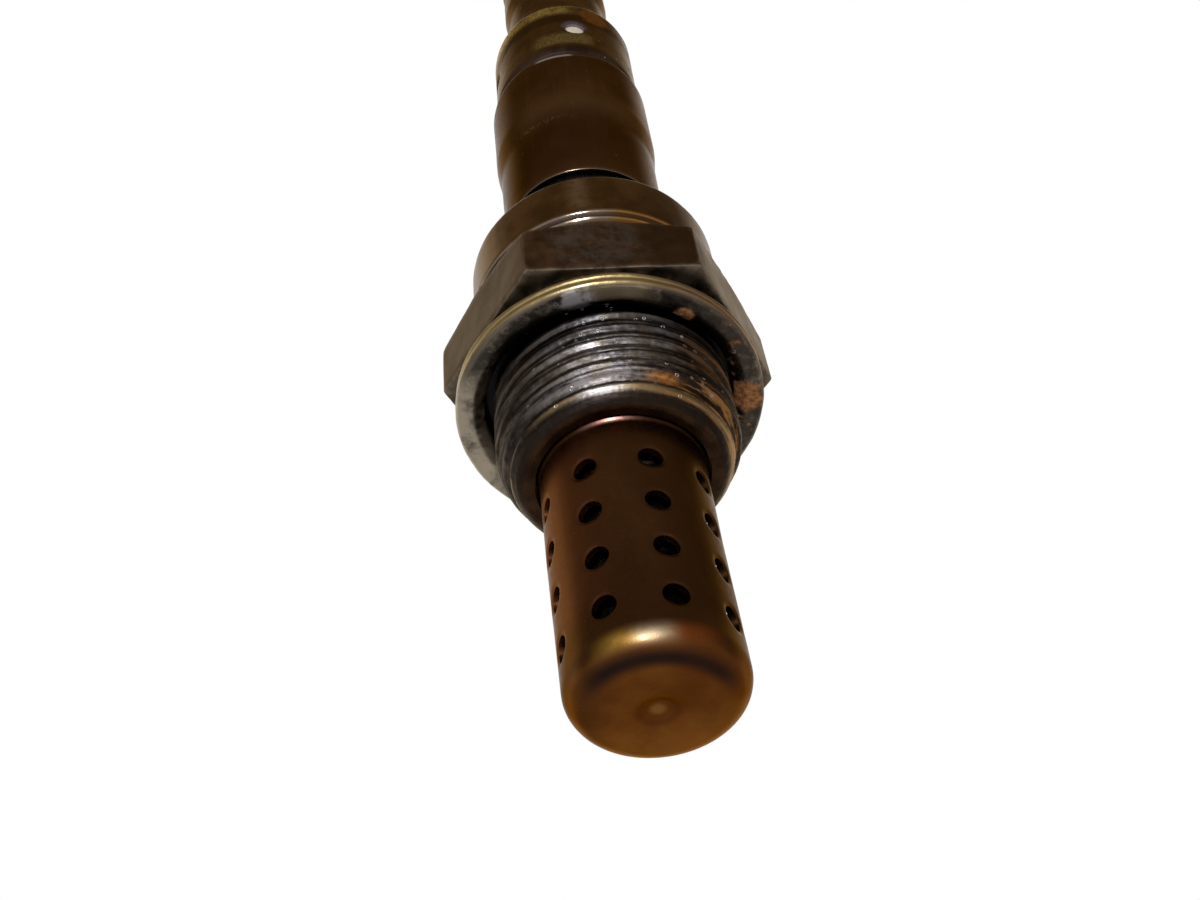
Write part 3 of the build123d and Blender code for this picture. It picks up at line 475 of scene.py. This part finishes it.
# ================================================================ materials
class Mat:
    """A Principled material and short calls that build its nodes.

    Lengths are in millimetres and angles in degrees; -90 faces the camera. A mask goes from 0 to 1."""

    def __init__(self, name, metallic=1.0, tint=(1, 1, 1)):
        self.mat = bpy.data.materials.new(name)
        self.mat.use_nodes = True
        self.nt = self.mat.node_tree
        self.bsdf = self.nt.nodes["Principled BSDF"]
        self.bsdf.inputs["Metallic"].default_value = metallic
        self.bsdf.inputs["Specular Tint"].default_value = (*tint, 1)
        place = self.node("TexCoord").outputs["Object"]
        self.pos = self.node("VectorMath", place, (1000, 1000, 1000), operation="MULTIPLY").outputs[0]
        self.x, self.y, self.z = self.node("SeparateXYZ", self.pos).outputs
        self.r = self.math("SQRT", self.add(self.mul(self.x, self.x), self.mul(self.y, self.y)))
        self.angle = self.mul(self.math("ARCTAN2", self.y, self.x), 180 / math.pi)
        self.normal = None

    def put(self, socket, value):
        if isinstance(value, bpy.types.NodeSocket):
            self.nt.links.new(value, socket)
        elif value is not None:
            if socket.type == "RGBA" and len(value) == 3:
                value = (*value, 1)
            socket.default_value = value

    def node(self, kind, *values, **props):
        n = self.nt.nodes.new("ShaderNode" + kind)
        for key, value in props.items():
            setattr(n, key, value)
        for socket, value in zip(n.inputs, values):
            self.put(socket, value)
        return n

    def named(self, kind, **values):
        """A node whose inputs are given by their names."""
        n = self.nt.nodes.new("ShaderNode" + kind)
        for key, value in values.items():
            self.put(n.inputs[key], value)
        return n

    def math(self, op, a, b=None, c=None):
        return self.node("Math", a, b, c, operation=op).outputs[0]

    def fold(self, op, values):
        out = values[0]
        for v in values[1:]:
            out = self.math(op, out, v)
        return out

    def mul(self, *values):
        return self.fold("MULTIPLY", values)

    def add(self, *values):
        return self.fold("ADD", values)

    def most(self, *values):
        return self.fold("MAXIMUM", values)

    def map(self, x, lo, hi, a=0.0, b=1.0):
        return self.node("MapRange", x, lo, hi, a, b, interpolation_type="SMOOTHSTEP").outputs[0]

    def band(self, x, lo, hi, soft):
        """1 where x is between lo and hi, with soft ends."""
        return self.mul(self.map(x, lo - soft, lo + soft), self.map(x, hi + soft, hi - soft))

    def mix(self, f, a, b, mode="MIX"):
        n = self.nt.nodes.new("ShaderNodeMix")
        n.data_type, n.blend_type = "RGBA", mode
        for i, v in ((0, f), (6, a), (7, b)):
            self.put(n.inputs[i], v)
        return n.outputs[2]

    def blend(self, x, lo, hi, a, b):
        """Goes from colour a to colour b while x goes from lo to hi."""
        return self.mix(self.map(x, lo, hi), a, b)

    def over(self, base, color, *masks):
        """Paints a colour over the base where all the masks are 1."""
        return self.mix(self.mul(*masks), base, color)

    def tex(self, size, detail=3, rough=0.55, stretch=(1, 1, 1), seed=0):
        """Noise in 0..1 with blotches about size across."""
        v = self.node("VectorMath", self.pos, tuple(k / size for k in stretch), (seed * 11.3,) * 3,
                      operation="MULTIPLY_ADD").outputs[0]
        return self.named("TexNoise", Vector=v, Scale=1.0, Detail=detail, Roughness=rough).outputs[0]

    def specks(self, size, radius, share, seed=0, ring=False):
        """Round specks of a given radius in a share of the cells of a given size."""
        v = self.node("VectorMath", self.pos, (1 / size,) * 3, (seed * 7.1,) * 3,
                      operation="MULTIPLY_ADD").outputs[0]
        n = self.named("TexVoronoi", Vector=v, Scale=1.0)
        d = n.outputs["Distance"]
        draw = self.node("SeparateXYZ", n.outputs["Color"]).outputs[0]
        pick = self.map(draw, 1 - share - 0.02, 1 - share + 0.02)
        k = radius / size
        m = self.band(d, 0.55 * k, k, 0.2 * k) if ring else self.map(d, k, 0.5 * k)
        return self.mul(m, pick)

    def spot(self, point, radius, ragged=0.0, size=1.0, seed=9):
        """1 near a point, with a ragged rim."""
        d = self.node("VectorMath", self.pos, point, operation="DISTANCE").outputs["Value"]
        if ragged:
            off = self.math("SUBTRACT", self.tex(size, 4, 0.6, seed=seed), 0.5)
            d = self.math("MULTIPLY_ADD", off, ragged, d)
        return self.map(d, radius, 0.55 * radius)

    def wear(self, lo=0.515, hi=0.56):
        """1 on sharp outer edges."""
        return self.map(self.node("NewGeometry").outputs["Pointiness"], lo, hi)

    def bump(self, height, depth, strength=1.0):
        self.normal = self.named("Bump", Strength=strength, Distance=depth * MM, Height=height,
                                 Normal=self.normal).outputs[0]

    def finish(self, color, rough, metallic=None):
        self.put(self.bsdf.inputs["Base Color"], color)
        self.put(self.bsdf.inputs["Roughness"], rough)
        self.put(self.bsdf.inputs["Metallic"], metallic)
        self.put(self.bsdf.inputs["Normal"], self.normal)
        return self.mat


def dress(obj, material):
    obj.data.materials.clear()
    obj.data.materials.append(material)


def shell_material():
    m = Mat("m_shell", tint=(0.75, 0.68, 0.6))
    blotch = m.tex(4.0, 6, 0.6, seed=1)
    fine = m.tex(0.5, 4, 0.65, seed=2)
    along = m.tex(1.1, 6, 0.68, (0.22, 0.22, 1.9), seed=3)
    scratch = m.tex(0.7, 5, 0.7, (0.14, 0.14, 1.8), seed=14)
    dirt = m.tex(1.6, 6, 0.65, seed=4)
    # collar and groove: dark, glossy, heat-tinted
    c = m.blend(blotch, 0.35, 0.65, (0.112, 0.055, 0.019), (0.205, 0.112, 0.042))
    # painted reflection: a pale vertical streak on the collar
    c = m.over(c, (0.36, 0.25, 0.15), m.band(m.angle, -103, -96, 4), m.map(m.z, 12.0, 13.0),
               m.map(fine, 0.2, 0.6), 0.8)
    # painted shade: the collar darker to the right
    c = m.over(c, (0.055, 0.026, 0.010), m.map(m.x, 1.0, 6.0), 0.7)
    # a polished band at the collar's foot, painted pale to the left and gold to the right as a painted
    # highlight
    polish_and_highlight = m.band(m.z, 11.2, 12.0, 0.12)
    c = m.over(c, m.blend(m.x, 0.0, 1.6, (0.44, 0.36, 0.30), (0.50, 0.25, 0.075)), polish_and_highlight, 0.8)
    # painted shade: a dark band in the hollow between the two highlights
    c = m.over(c, (0.035, 0.02, 0.011), m.band(m.z, 11.56, 11.82, 0.05), 0.9)
    # hexagon: paler and satin, sooty in patches
    hexagon = m.mul(m.band(m.z, 2.7, 9.0, 0.12), m.map(m.r, 9.7, 9.9))
    front = m.map(m.y, -9.3, -10.5)
    face = m.blend(dirt, 0.3, 0.7, (0.085, 0.055, 0.028), (0.17, 0.118, 0.068))
    # painted reflection: the right facet paler
    right = m.blend(dirt, 0.3, 0.7, (0.15, 0.11, 0.07), (0.26, 0.20, 0.14))
    face = m.over(face, right, m.map(m.x, 5.0, 9.0))
    # painted shade: the front facet darker
    face = m.over(face, m.blend(dirt, 0.35, 0.65, (0.075, 0.042, 0.021), (0.13, 0.075, 0.04)), front)
    c = m.over(c, face, hexagon)
    # painted shade: the front facet darker still to the right
    c = m.over(c, (0.06, 0.031, 0.013), front, hexagon, m.map(m.x, 1.0, 4.0), 0.7)
    c = m.over(c, (0.17, 0.15, 0.135), m.spot((-0.9, -11.0, 6.2), 4.4, 4.5, 2.2, 5),
               m.map(m.tex(0.9, 6, 0.7, seed=6), 0.4, 0.62), 0.6)
    # paler grime at the hexagon's foot and on the land below it, partly painted light
    c = m.over(c, m.blend(dirt, 0.3, 0.65, (0.07, 0.055, 0.042), (0.20, 0.16, 0.12)),
               m.map(m.z, 3.1, 2.7), m.map(m.z, 1.2, 1.6))
    c = m.over(c, (0.36, 0.30, 0.22), m.wear(), m.map(fine, 0.3, 0.6), m.band(m.z, 2.6, 9.2, 0.2), 0.6)
    # thread: sooty grey, bright scratches along the turns, dark at the roots
    threaded = m.map(m.z, 0.9, 0.5)
    turn = m.math("SUBTRACT", m.mul(m.z, 1 / PITCH), m.mul(m.angle, 1 / 360))
    phase = m.mul(m.math("ABSOLUTE", m.math("SUBTRACT", m.math("FRACT", turn), 0.5)), 2.0)
    low = m.most(m.map(phase, 0.62, 0.9), m.map(phase, 0.16, 0.04))
    grime = m.map(m.add(m.mul(scratch, 0.4), m.mul(fine, 0.2), m.mul(along, 0.4)), 0.43, 0.58)
    t = m.mix(grime, (0.035, 0.032, 0.036), (0.34, 0.32, 0.325))
    t = m.over(t, (0.12, 0.092, 0.055), m.map(dirt, 0.5, 0.62), 0.55)
    t = m.over(t, (0.022, 0.019, 0.02), low, m.map(along, 0.3, 0.7, 0.7, 0.15))
    # painted shade: nearly black below the gasket, broken up by dirt noise
    t = m.over(t, (0.022, 0.021, 0.024), m.map(m.z, -2.6, -0.9), m.map(dirt, 0.25, 0.55, 0.95, 0.6))
    # straw-coloured streaks at the lower right: heat tint, made brighter as a painted reflection
    straw = m.map(m.add(m.mul(m.x, 0.6), m.mul(m.z, -0.55)), 3.0, 6.2)
    t = m.over(t, m.blend(scratch, 0.46, 0.58, (0.028, 0.016, 0.010), (0.46, 0.22, 0.065)), straw, 0.9)
    # painted shade: darker to both sides
    sides = m.most(m.map(m.x, -3.0, -7.5), m.mul(m.map(m.x, 1.5, 5.5), m.map(m.z, -6.4, -4.8)))
    side_shade_tone = m.blend(m.x, -2.0, 2.0, (0.085, 0.065, 0.045), (0.085, 0.042, 0.018))
    t = m.over(t, m.blend(scratch, 0.45, 0.62, (0.018, 0.014, 0.013), side_shade_tone), sides, 0.85)
    t = m.over(t, (0.10, 0.072, 0.048), m.map(blotch, 0.5, 0.68), 0.5)
    # painted highlight on the worn ring at the nose, painted shade in the dark mouth and on the lip's end
    # face, and one painted amber glint
    pale = m.mix(m.band(m.angle, -114, -92, 8), (0.36, 0.25, 0.12), (0.62, 0.60, 0.60))
    t = m.over(t, pale, m.band(m.z, -7.25, -6.9, 0.16), m.map(m.r, 7.2, 7.6),
               m.map(m.angle, -150, -125), m.map(along, 0.2, 0.5), 0.8)
    t = m.over(t, (0.022, 0.015, 0.012), m.map(m.z, -7.2, -7.5), 0.9)
    t = m.over(t, m.blend(dirt, 0.35, 0.65, (0.026, 0.014, 0.009), (0.055, 0.028, 0.014)),
               m.most(m.map(m.z, -7.85, -8.0), m.map(m.r, 7.35, 7.0)))
    t = m.over(t, (0.66, 0.25, 0.045), m.band(m.angle, -77, -63, 6), m.band(m.z, -6.35, -5.95, 0.22),
               m.map(fine, 0.25, 0.6), 0.9)
    c = m.over(c, t, threaded)
    # painted shade: black in the relief behind the gasket
    c = m.over(c, (0.012, 0.011, 0.012),
               m.most(m.mul(m.map(m.r, 9.0, 8.8), m.band(m.z, 0.1, 2.2, 0.1)),
                      m.mul(m.map(m.r, 10.5, 10.2), m.band(m.z, 0.5, 1.6, 0.1))))
    drops = m.mul(m.specks(0.85, 0.15, 0.75, 1, True), m.map(m.y, -4.0, -7.0), m.map(m.z, 2.8, 2.6),
                  m.map(m.z, -7.6, -7.2))
    c = m.over(c, (0.6, 0.6, 0.62), drops, 0.55)
    rough = m.add(m.map(blotch, 0.3, 0.7, 0.20, 0.30), m.mul(hexagon, m.map(dirt, 0.3, 0.7, 0.10, 0.24)),
                  m.mul(threaded, m.map(along, 0.3, 0.7, 0.20, 0.06)))
    rough = m.math("SUBTRACT", rough, m.mul(polish_and_highlight, 0.11))
    m.bump(m.tex(0.16, 2, 0.5, (0.1, 0.1, 1.0), 8), 0.008, 0.2)
    m.bump(m.mul(m.tex(0.7, 5, 0.6, seed=9), m.map(m.z, 9.4, 8.8, 0.25, 1.0)), 0.05, 0.4)
    m.bump(m.mul(along, threaded), 0.12, 0.6)
    m.bump(drops, 0.06, 0.6)
    return m.finish(c, rough)


def gasket_material():
    m = Mat("m_gasket", tint=(0.8, 0.75, 0.7))
    dirt = m.tex(2.2, 6, 0.65, seed=21)
    fine = m.tex(0.45, 4, 0.6, seed=22)
    c = m.blend(dirt, 0.35, 0.65, (0.28, 0.24, 0.19), (0.50, 0.44, 0.34))
    # rim: straw above; grey-brown below and browner to the right, both painted shade
    c = m.over(c, m.blend(m.z, -0.02, 0.2, (0.15, 0.12, 0.09), (0.44, 0.335, 0.15)),
               m.map(m.r, 11.25, 11.45), 0.9)
    c = m.over(c, (0.22, 0.13, 0.08), m.map(m.x, 0.0, 6.0), m.map(m.r, 11.2, 11.5), 0.75)
    # soot on the sealing face
    c = m.over(c, (0.045, 0.04, 0.04), m.map(m.add(dirt, m.mul(fine, 0.5)), 1.02, 0.66),
               m.map(m.r, 11.55, 11.3), 0.85)
    c = m.over(c, (0.06, 0.054, 0.048), m.band(m.angle, -160, -107, 8), m.map(m.r, 11.4, 11.2),
               m.map(m.add(dirt, m.mul(fine, 0.6)), 1.0, 0.7, 0.55, 1.0), 0.85)
    # painted shadow: black at the inner edge, in the gap next to the thread
    c = m.over(c, (0.012, 0.011, 0.013), m.map(m.r, 10.15, 9.7), 0.9)
    # pale patch in front; painted shade to the right; pale to the left as a painted reflection; one painted
    # white highlight
    c = m.over(c, (0.46, 0.38, 0.26), m.spot((0.1, -10.5, -0.2), 3.0, 1.8, 1.1, 29),
               m.map(m.r, 10.0, 10.3), m.map(m.r, 11.5, 11.3), 0.85)
    c = m.over(c, (0.045, 0.033, 0.026), m.map(m.x, 1.0, 5.0), m.map(m.r, 11.4, 11.1), 0.7)
    c = m.over(c, (0.55, 0.48, 0.38), m.map(m.x, -6.5, -9.5), m.map(m.y, -4.5, -1.5),
               m.map(dirt, 0.25, 0.5), 0.8)
    c = m.over(c, (0.86, 0.85, 0.88), m.spot((-2.6, -10.0, -0.3), 1.7, 1.6, 0.8, 23),
               m.map(dirt, 0.35, 0.5), 0.9)
    rust = m.most(m.spot((4.8, -8.4, 0.0), 1.05, 1.0, 0.7, 24), m.spot((10.1, -0.8, 0.0), 1.7, 2.0, 1.0, 25),
                  m.mul(m.map(m.x, 7.0, 10.0), m.map(m.tex(1.3, 5, 0.65, seed=26), 0.56, 0.66)))
    c = m.over(c, m.blend(fine, 0.3, 0.7, (0.12, 0.042, 0.014), (0.46, 0.20, 0.07)), rust)
    c = m.over(c, (0.6, 0.6, 0.62), m.specks(1.3, 0.17, 0.3, 2, True), m.map(m.y, -3, -6), 0.5)
    rough = m.add(m.map(dirt, 0.3, 0.7, 0.30, 0.42), m.mul(rust, 0.35))
    m.bump(m.tex(0.9, 5, 0.6, seed=27), 0.10, 0.5)
    m.bump(m.tex(0.25, 3, 0.6, (0.15, 0.15, 1), 28), 0.02, 0.5)
    m.bump(m.mul(rust, fine), 0.12, 0.8)
    return m.finish(c, rough, m.map(rust, 0.0, 1.0, 1.0, 0.25))


def shield_material(name="m_shield", pale=0.0):
    """Heat-tinted bronze; pale is how far the sooty, paler inner shield replaces it."""
    m = Mat(name, tint=(0.62, 0.52, 0.44))
    cloud = m.tex(6.0, 5, 0.55, (1, 1, 0.6), seed=31)
    fine = m.tex(0.4, 4, 0.6, seed=32)
    drawn = m.tex(0.8, 5, 0.65, (1.2, 1.2, 0.08), seed=33)
    # wall: lighter pink to the left as painted light, painted shade to the right, a few specks
    c = m.blend(cloud, 0.3, 0.7, (0.088, 0.039, 0.015), (0.130, 0.060, 0.024))
    c = m.over(c, (0.165, 0.062, 0.028), m.map(m.x, -1.5, -4.8), m.map(m.z, -25.5, -22.0), 0.8)
    c = m.over(c, (0.045, 0.023, 0.011), m.map(m.x, 1.0, 4.8), m.map(m.z, -27.0, -24.0), 0.75)
    c = m.over(c, (0.30, 0.20, 0.12), m.specks(1.1, 0.07, 0.25, 7), m.map(m.z, -26.0, -24.0), 0.5)
    # end face: gold, brighter to the back as a painted reflection, dark to the left, and painted shade in a
    # band along its front
    c = m.over(c, m.blend(cloud, 0.3, 0.7, (0.145, 0.041, 0.008), (0.245, 0.094, 0.018)),
               m.map(m.z, -26.9, -28.4), 0.9)
    c = m.over(c, (0.33, 0.125, 0.024), m.map(m.y, -1.5, 4.5), m.map(m.z, -27.5, -28.3),
               m.map(cloud, 0.25, 0.6), 0.75)
    c = m.over(c, (0.085, 0.032, 0.012), m.map(m.x, -2.2, -4.6), m.map(m.z, -28.0, -28.4), 0.65)
    c = m.over(c, (0.020, 0.012, 0.011), m.band(m.r, 4.4, 5.4, 0.45), m.map(m.z, -27.5, -27.9),
               m.map(m.y, -0.5, -3.6), m.map(cloud, 0.2, 0.5, 0.75, 0.95))
    # dimple: painted shade in a dark ring round a painted highlight in the middle
    foot = m.map(m.z, -27.4, -27.8)
    c = m.over(c, (0.075, 0.025, 0.009), m.band(m.r, 0.95, 1.45, 0.25), foot, 0.4)
    c = m.over(c, (0.42, 0.21, 0.06), m.map(m.r, 0.75, 0.2), foot, 0.45)
    # painted highlights: the glow on the rounded corner, and a bright arc on the swaged root
    corner = m.mul(m.band(m.z, -27.6, -26.6, 0.45), m.map(m.r, 4.8, 5.4), m.band(m.x, -3.6, 3.4, 1.0))
    glow_hue = m.blend(m.x, -2.4, -0.8, (0.50, 0.29, 0.055), (0.42, 0.33, 0.21))
    glow_hue = m.over(glow_hue, (0.30, 0.085, 0.018), m.map(m.x, 0.0, 1.7))
    c = m.over(c, glow_hue, corner, 0.85)
    root = m.mix(m.band(m.angle, -119, -83, 10), (0.075, 0.030, 0.013), (0.26, 0.13, 0.105))
    c = m.over(c, root, m.map(m.z, -8.4, -8.2))
    if pale:
        c = m.mix(m.mul(m.map(fine, 0.35, 0.65, 0.4, 1.0), pale), (0.03, 0.021, 0.018), (0.30, 0.21, 0.17))
        # painted highlight on the inner shield, seen through a hole
        c = m.over(c, (0.95, 0.70, 0.62), m.spot((1.15, -4.45, -10.5), 0.75, 0.3))
    rough = m.add(m.map(cloud, 0.3, 0.7, 0.27, 0.35), m.map(fine, 0.3, 0.7, -0.03, 0.05),
                  m.mul(corner, 0.12))
    m.bump(m.tex(0.12, 2, 0.5, seed=34), 0.006, 0.5)
    m.bump(drawn, 0.02, 0.35)
    m.bump(m.tex(0.16, 3, 0.5, (0.2, 0.2, 1), 35), 0.008, 0.3)
    return m.finish(c, rough)


def sleeve_material():
    m = Mat("m_sleeve", tint=(0.50, 0.44, 0.39))
    cloud = m.tex(5.0, 6, 0.6, seed=41)
    fine = m.tex(0.35, 4, 0.6, seed=42)
    drawn = m.tex(0.9, 6, 0.7, (1.3, 1.3, 0.12), seed=43)
    c = m.blend(cloud, 0.3, 0.7, (0.122, 0.060, 0.028), (0.172, 0.088, 0.041))
    c = m.over(c, (0.24, 0.15, 0.08), m.map(drawn, 0.52, 0.72), 0.35)
    # bands of heat tint along the height, with a paler band at the flare that is a painted reflection, then
    # painted shade in dark stripes at both sides
    c = m.over(c, (0.075, 0.036, 0.019), m.band(m.z, 24.0, 31.5, 1.5), 0.55)
    c = m.over(c, (0.20, 0.115, 0.05), m.band(m.z, 33.2, 36.0, 1.0), 0.6)
    c = m.over(c, (0.085, 0.042, 0.02), m.band(m.z, 38.0, 43.2, 1.5), 0.4)
    c = m.over(c, (0.065, 0.036, 0.020), m.band(m.angle, -168, -134, 12), m.band(m.z, 24.0, 40.0, 3.0), 0.55)
    c = m.over(c, (0.085, 0.050, 0.030), m.band(m.angle, -44, -4, 8), m.band(m.z, 23.0, 33.0, 2.0), 0.5)
    # painted glints under the flare, and specks
    c = m.over(c, (0.45, 0.30, 0.11), m.band(m.z, 31.9, 32.5, 0.2), m.band(m.angle, -140, -104, 8),
               m.map(m.tex(0.25, 2, 0.5, seed=47), 0.5, 0.65), 0.45)
    bits = m.most(m.specks(1.7, 0.13, 0.22, 3), m.specks(0.8, 0.06, 0.12, 4))
    c = m.over(c, (0.45, 0.36, 0.24), bits, 0.8)
    # lower end in painted shade with a painted highlight on its outer edge, worn upper edges, a painted
    # highlight on the lit upper edge, and a painted highlight on its burr
    foot = m.map(m.z, 23.3, 23.12)
    rim = m.most(m.mul(foot, m.map(m.r, 6.84, 6.92)), m.mul(m.wear(0.52, 0.58), m.map(m.z, 42.6, 43.0)))
    c = m.over(c, (0.03, 0.022, 0.018), foot)
    c = m.over(c, (0.27, 0.19, 0.125), rim, 0.6)
    edge_highlight = m.mix(m.band(m.angle, -116, -90, 3), (0.19, 0.12, 0.07), (0.92, 0.88, 0.90))
    c = m.over(c, edge_highlight, m.map(m.z, 42.3, 42.5), m.band(m.angle, -122, -70, 5), 0.9)
    c = m.over(c, (0.75, 0.58, 0.22), m.spot((-6.9, -2.5, 43.3), 0.7))
    rough = m.add(m.map(cloud, 0.3, 0.7, 0.17, 0.26), m.map(fine, 0.3, 0.7, -0.02, 0.06))
    m.bump(drawn, 0.02, 0.25)
    m.bump(m.tex(0.14, 2, 0.5, seed=46), 0.006, 0.4)
    m.bump(bits, 0.05, 0.7)
    return m.finish(c, rough)


def cap_material():
    m = Mat("m_cap", tint=(0.6, 0.53, 0.45))
    cloud = m.tex(3.2, 6, 0.6, seed=51)
    grain = m.tex(0.16, 2, 0.5, seed=57)
    fine = m.tex(0.4, 4, 0.6, seed=52)
    c = m.blend(cloud, 0.3, 0.7, (0.11, 0.058, 0.024), (0.19, 0.112, 0.046))
    # painted reflections: an olive patch below the breather hole, and a dark band above it
    c = m.over(c, m.blend(grain, 0.35, 0.65, (0.23, 0.165, 0.065), (0.50, 0.38, 0.16)),
               m.spot((-0.4, -6.9, 46.9), 3.6, 1.5, 1.5, 53), m.map(m.z, 48.6, 47.6),
               m.map(m.z, 45.7, 46.3), 0.85)
    c = m.over(c, (0.055, 0.032, 0.018), m.band(m.z, 50.4, 52.0, 0.4), 0.7)
    # violet crimp with a pale stripe, which is a painted highlight
    c = m.over(c, m.blend(cloud, 0.4, 0.6, (0.055, 0.036, 0.034), (0.10, 0.068, 0.058)),
               m.band(m.z, 43.0, 45.5, 0.4), 0.8)
    c = m.over(c, (0.40, 0.36, 0.46), m.band(m.z, 43.9, 44.5, 0.25), m.band(m.angle, -124, -84, 10), 0.8)
    # painted highlights: the gold shoulder and the white line at the sleeve; amber patch
    c = m.over(c, m.blend(grain, 0.36, 0.62, (0.36, 0.25, 0.08), (0.95, 0.74, 0.25)),
               m.band(m.z, 52.4, 55.0, 0.6), m.map(m.x, 1.8, 0.2), m.map(cloud, 0.32, 0.52), 0.9)
    c = m.over(c, (0.85, 0.85, 0.90), m.map(m.z, 43.66, 43.6), m.band(m.angle, -114, -92, 3), 0.9)
    c = m.over(c, (0.42, 0.17, 0.045), m.spot((3.0, -6.1, 52.4), 1.9, 1.2, 0.8, 54),
               m.map(fine, 0.2, 0.55), 0.85)
    # neck, a painted highlight on the lilac rim of the breather hole, specks
    c = m.over(c, m.blend(cloud, 0.3, 0.7, (0.12, 0.06, 0.027), (0.20, 0.11, 0.05)),
               m.map(m.z, 55.0, 56.2), 0.7)
    c = m.over(c, (0.30, 0.26, 0.34), m.spot((0.84, -6.85, 49.35), 1.6, 0.3), m.map(m.z, 48.9, 49.5), 0.8)
    bits = m.most(m.specks(1.4, 0.12, 0.3, 5), m.specks(0.7, 0.06, 0.2, 6))
    c = m.over(c, (0.55, 0.44, 0.26), bits, 0.7)
    rough = m.add(m.map(cloud, 0.3, 0.7, 0.18, 0.28), m.map(fine, 0.3, 0.7, -0.02, 0.06))
    m.bump(m.tex(0.8, 5, 0.6, seed=55), 0.05, 0.4)
    m.bump(m.tex(0.14, 2, 0.5, seed=56), 0.006, 0.4)
    m.bump(bits, 0.05, 0.7)
    return m.finish(c, rough)


def plain(name, dark, light, rough, size=2.0, grain=0.25, depth=0.03, seed=60, metallic=0.0,
          stretch=(1, 1, 1), speck=None):
    """An even procedural finish: clouded colour, fine grain in colour, roughness and bump."""
    m = Mat(name, metallic)
    cloud, fine = m.tex(size, 5, 0.6, stretch, seed), m.tex(grain, 4, 0.6, stretch, seed + 1)
    c = m.blend(cloud, 0.3, 0.7, dark, light)
    c = m.mix(m.mul(m.map(fine, 0.5, 0.75), 0.3), c, dark, "MULTIPLY")
    if speck:
        c = m.over(c, speck, m.specks(grain * 4, grain * 0.6, 0.4, seed), 0.7)
    m.bump(fine, depth, 0.5)
    m.bump(cloud, depth * 2, 0.3)
    return m.finish(c, m.map(fine, 0.3, 0.7, rough - 0.06, rough + 0.08))


dress(shell_obj, shell_material())
dress(gasket_obj, gasket_material())
dress(shield_obj, shield_material())
dress(sleeve_obj, sleeve_material())
dress(cap_obj, cap_material())

nickel = plain("m_nickel", (0.50, 0.47, 0.41), (0.68, 0.66, 0.60), 0.30, 2.0, 0.3, 0.01, 71, 1.0,
               stretch=(1, 1, 0.15))
steel = plain("m_inner_steel", (0.40, 0.39, 0.37), (0.56, 0.55, 0.53), 0.34, 3.0, 0.25, 0.012, 73, 1.0,
              stretch=(0.2, 0.2, 1))
alumina = plain("m_alumina", (0.84, 0.83, 0.79), (0.90, 0.89, 0.86), 0.62, 3.0, 0.2, 0.02, 75,
                speck=(0.7, 0.68, 0.62))
cover = plain("m_cover", (0.065, 0.055, 0.053), (0.115, 0.098, 0.095), 0.30, 4.0, 0.3, 0.015, 77, 1.0,
              stretch=(1, 1, 0.3))
rubber = plain("m_grommet", (0.018, 0.017, 0.016), (0.045, 0.043, 0.041), 0.62, 2.5, 0.25, 0.04, 79)
ptfe = plain("m_ptfe", (0.62, 0.56, 0.45), (0.78, 0.73, 0.62), 0.7, 2.0, 0.15, 0.03, 81)
zirconia = plain("m_zirconia", (0.80, 0.77, 0.70), (0.88, 0.86, 0.80), 0.5, 3.0, 0.25, 0.02, 83)
talc = plain("m_talc", (0.55, 0.55, 0.50), (0.68, 0.67, 0.63), 0.85, 1.5, 0.2, 0.06, 85,
             speck=(0.4, 0.4, 0.37))
MATERIALS = {
    "inner_shield": shield_material("m_inner_shield", 0.6), "lower_cover": cover, "grommet": rubber,
    "vent_filter": ptfe, "sensing_element": zirconia, "talc_seal": talc,
    "ceramic_sleeve": alumina, "contact_holder": alumina, "heater_rod": alumina,
    "outer_terminal": nickel, "inner_terminal": nickel,
    "heater_terminal_a": nickel, "heater_terminal_b": nickel,
}
# the other inner pieces are of steel
for node_name, obj in nodes.items():
    for slot in obj.material_slots:
        slot.material = MATERIALS.get(node_name, steel)

# ================================================================ world, lamp, floor
WARM_SKY, WHITE_SKY = (0.24, 0.205, 0.165, 1), (1, 1, 1, 1)
SKY_CHANGE = 0.38  # the direction's Y at which the sky has turned white
LAMP_PLACE, LAMP_SIZE, LAMP_POWER, LAMP_COLOR = (-0.063, -0.295, -0.08), 0.034, 0.45, (1, 0.99, 1)
FLOOR_Z, FLOOR_SIZE = -0.17, 3

world = bpy.data.worlds.new("world")
scene.world = world
world.use_nodes = True
nt = world.node_tree
nt.nodes.clear()
out, bg, coord, sep, ramp, tone = (nt.nodes.new("ShaderNode" + kind) for kind in (
    "OutputWorld", "Background", "TexCoord", "SeparateXYZ", "MapRange", "Mix"))
ramp.interpolation_type = "SMOOTHSTEP"
ramp.inputs[1].default_value = 0.0
ramp.inputs[2].default_value = SKY_CHANGE
tone.data_type = "RGBA"
tone.inputs[6].default_value = WARM_SKY
tone.inputs[7].default_value = WHITE_SKY
for source, target in ((coord.outputs["Generated"], sep.inputs[0]), (sep.outputs[1], ramp.inputs[0]),
                       (ramp.outputs[0], tone.inputs[0]), (tone.outputs[2], bg.inputs[0]),
                       (bg.outputs[0], out.inputs[0])):
    nt.links.new(source, target)

lamp_data = bpy.data.lights.new("lamp_front", "AREA")
lamp_data.shape = "DISK"
lamp_data.size = LAMP_SIZE
lamp_data.energy = LAMP_POWER
lamp_data.color = LAMP_COLOR
lamp = bpy.data.objects.new("lamp_front", lamp_data)
scene.collection.objects.link(lamp)
lamp.location = LAMP_PLACE
lamp.rotation_mode = "QUATERNION"
lamp.rotation_quaternion = (-Vector(LAMP_PLACE)).to_track_quat("-Z", "Y")

bpy.ops.mesh.primitive_plane_add(size=FLOOR_SIZE, location=(0, 0, FLOOR_Z))
floor = bpy.context.object
floor.name = "floor"
dress(floor, plain("m_floor", (0.86, 0.86, 0.85), (0.92, 0.92, 0.91), 0.8, 400.0, 60.0, 0.0))
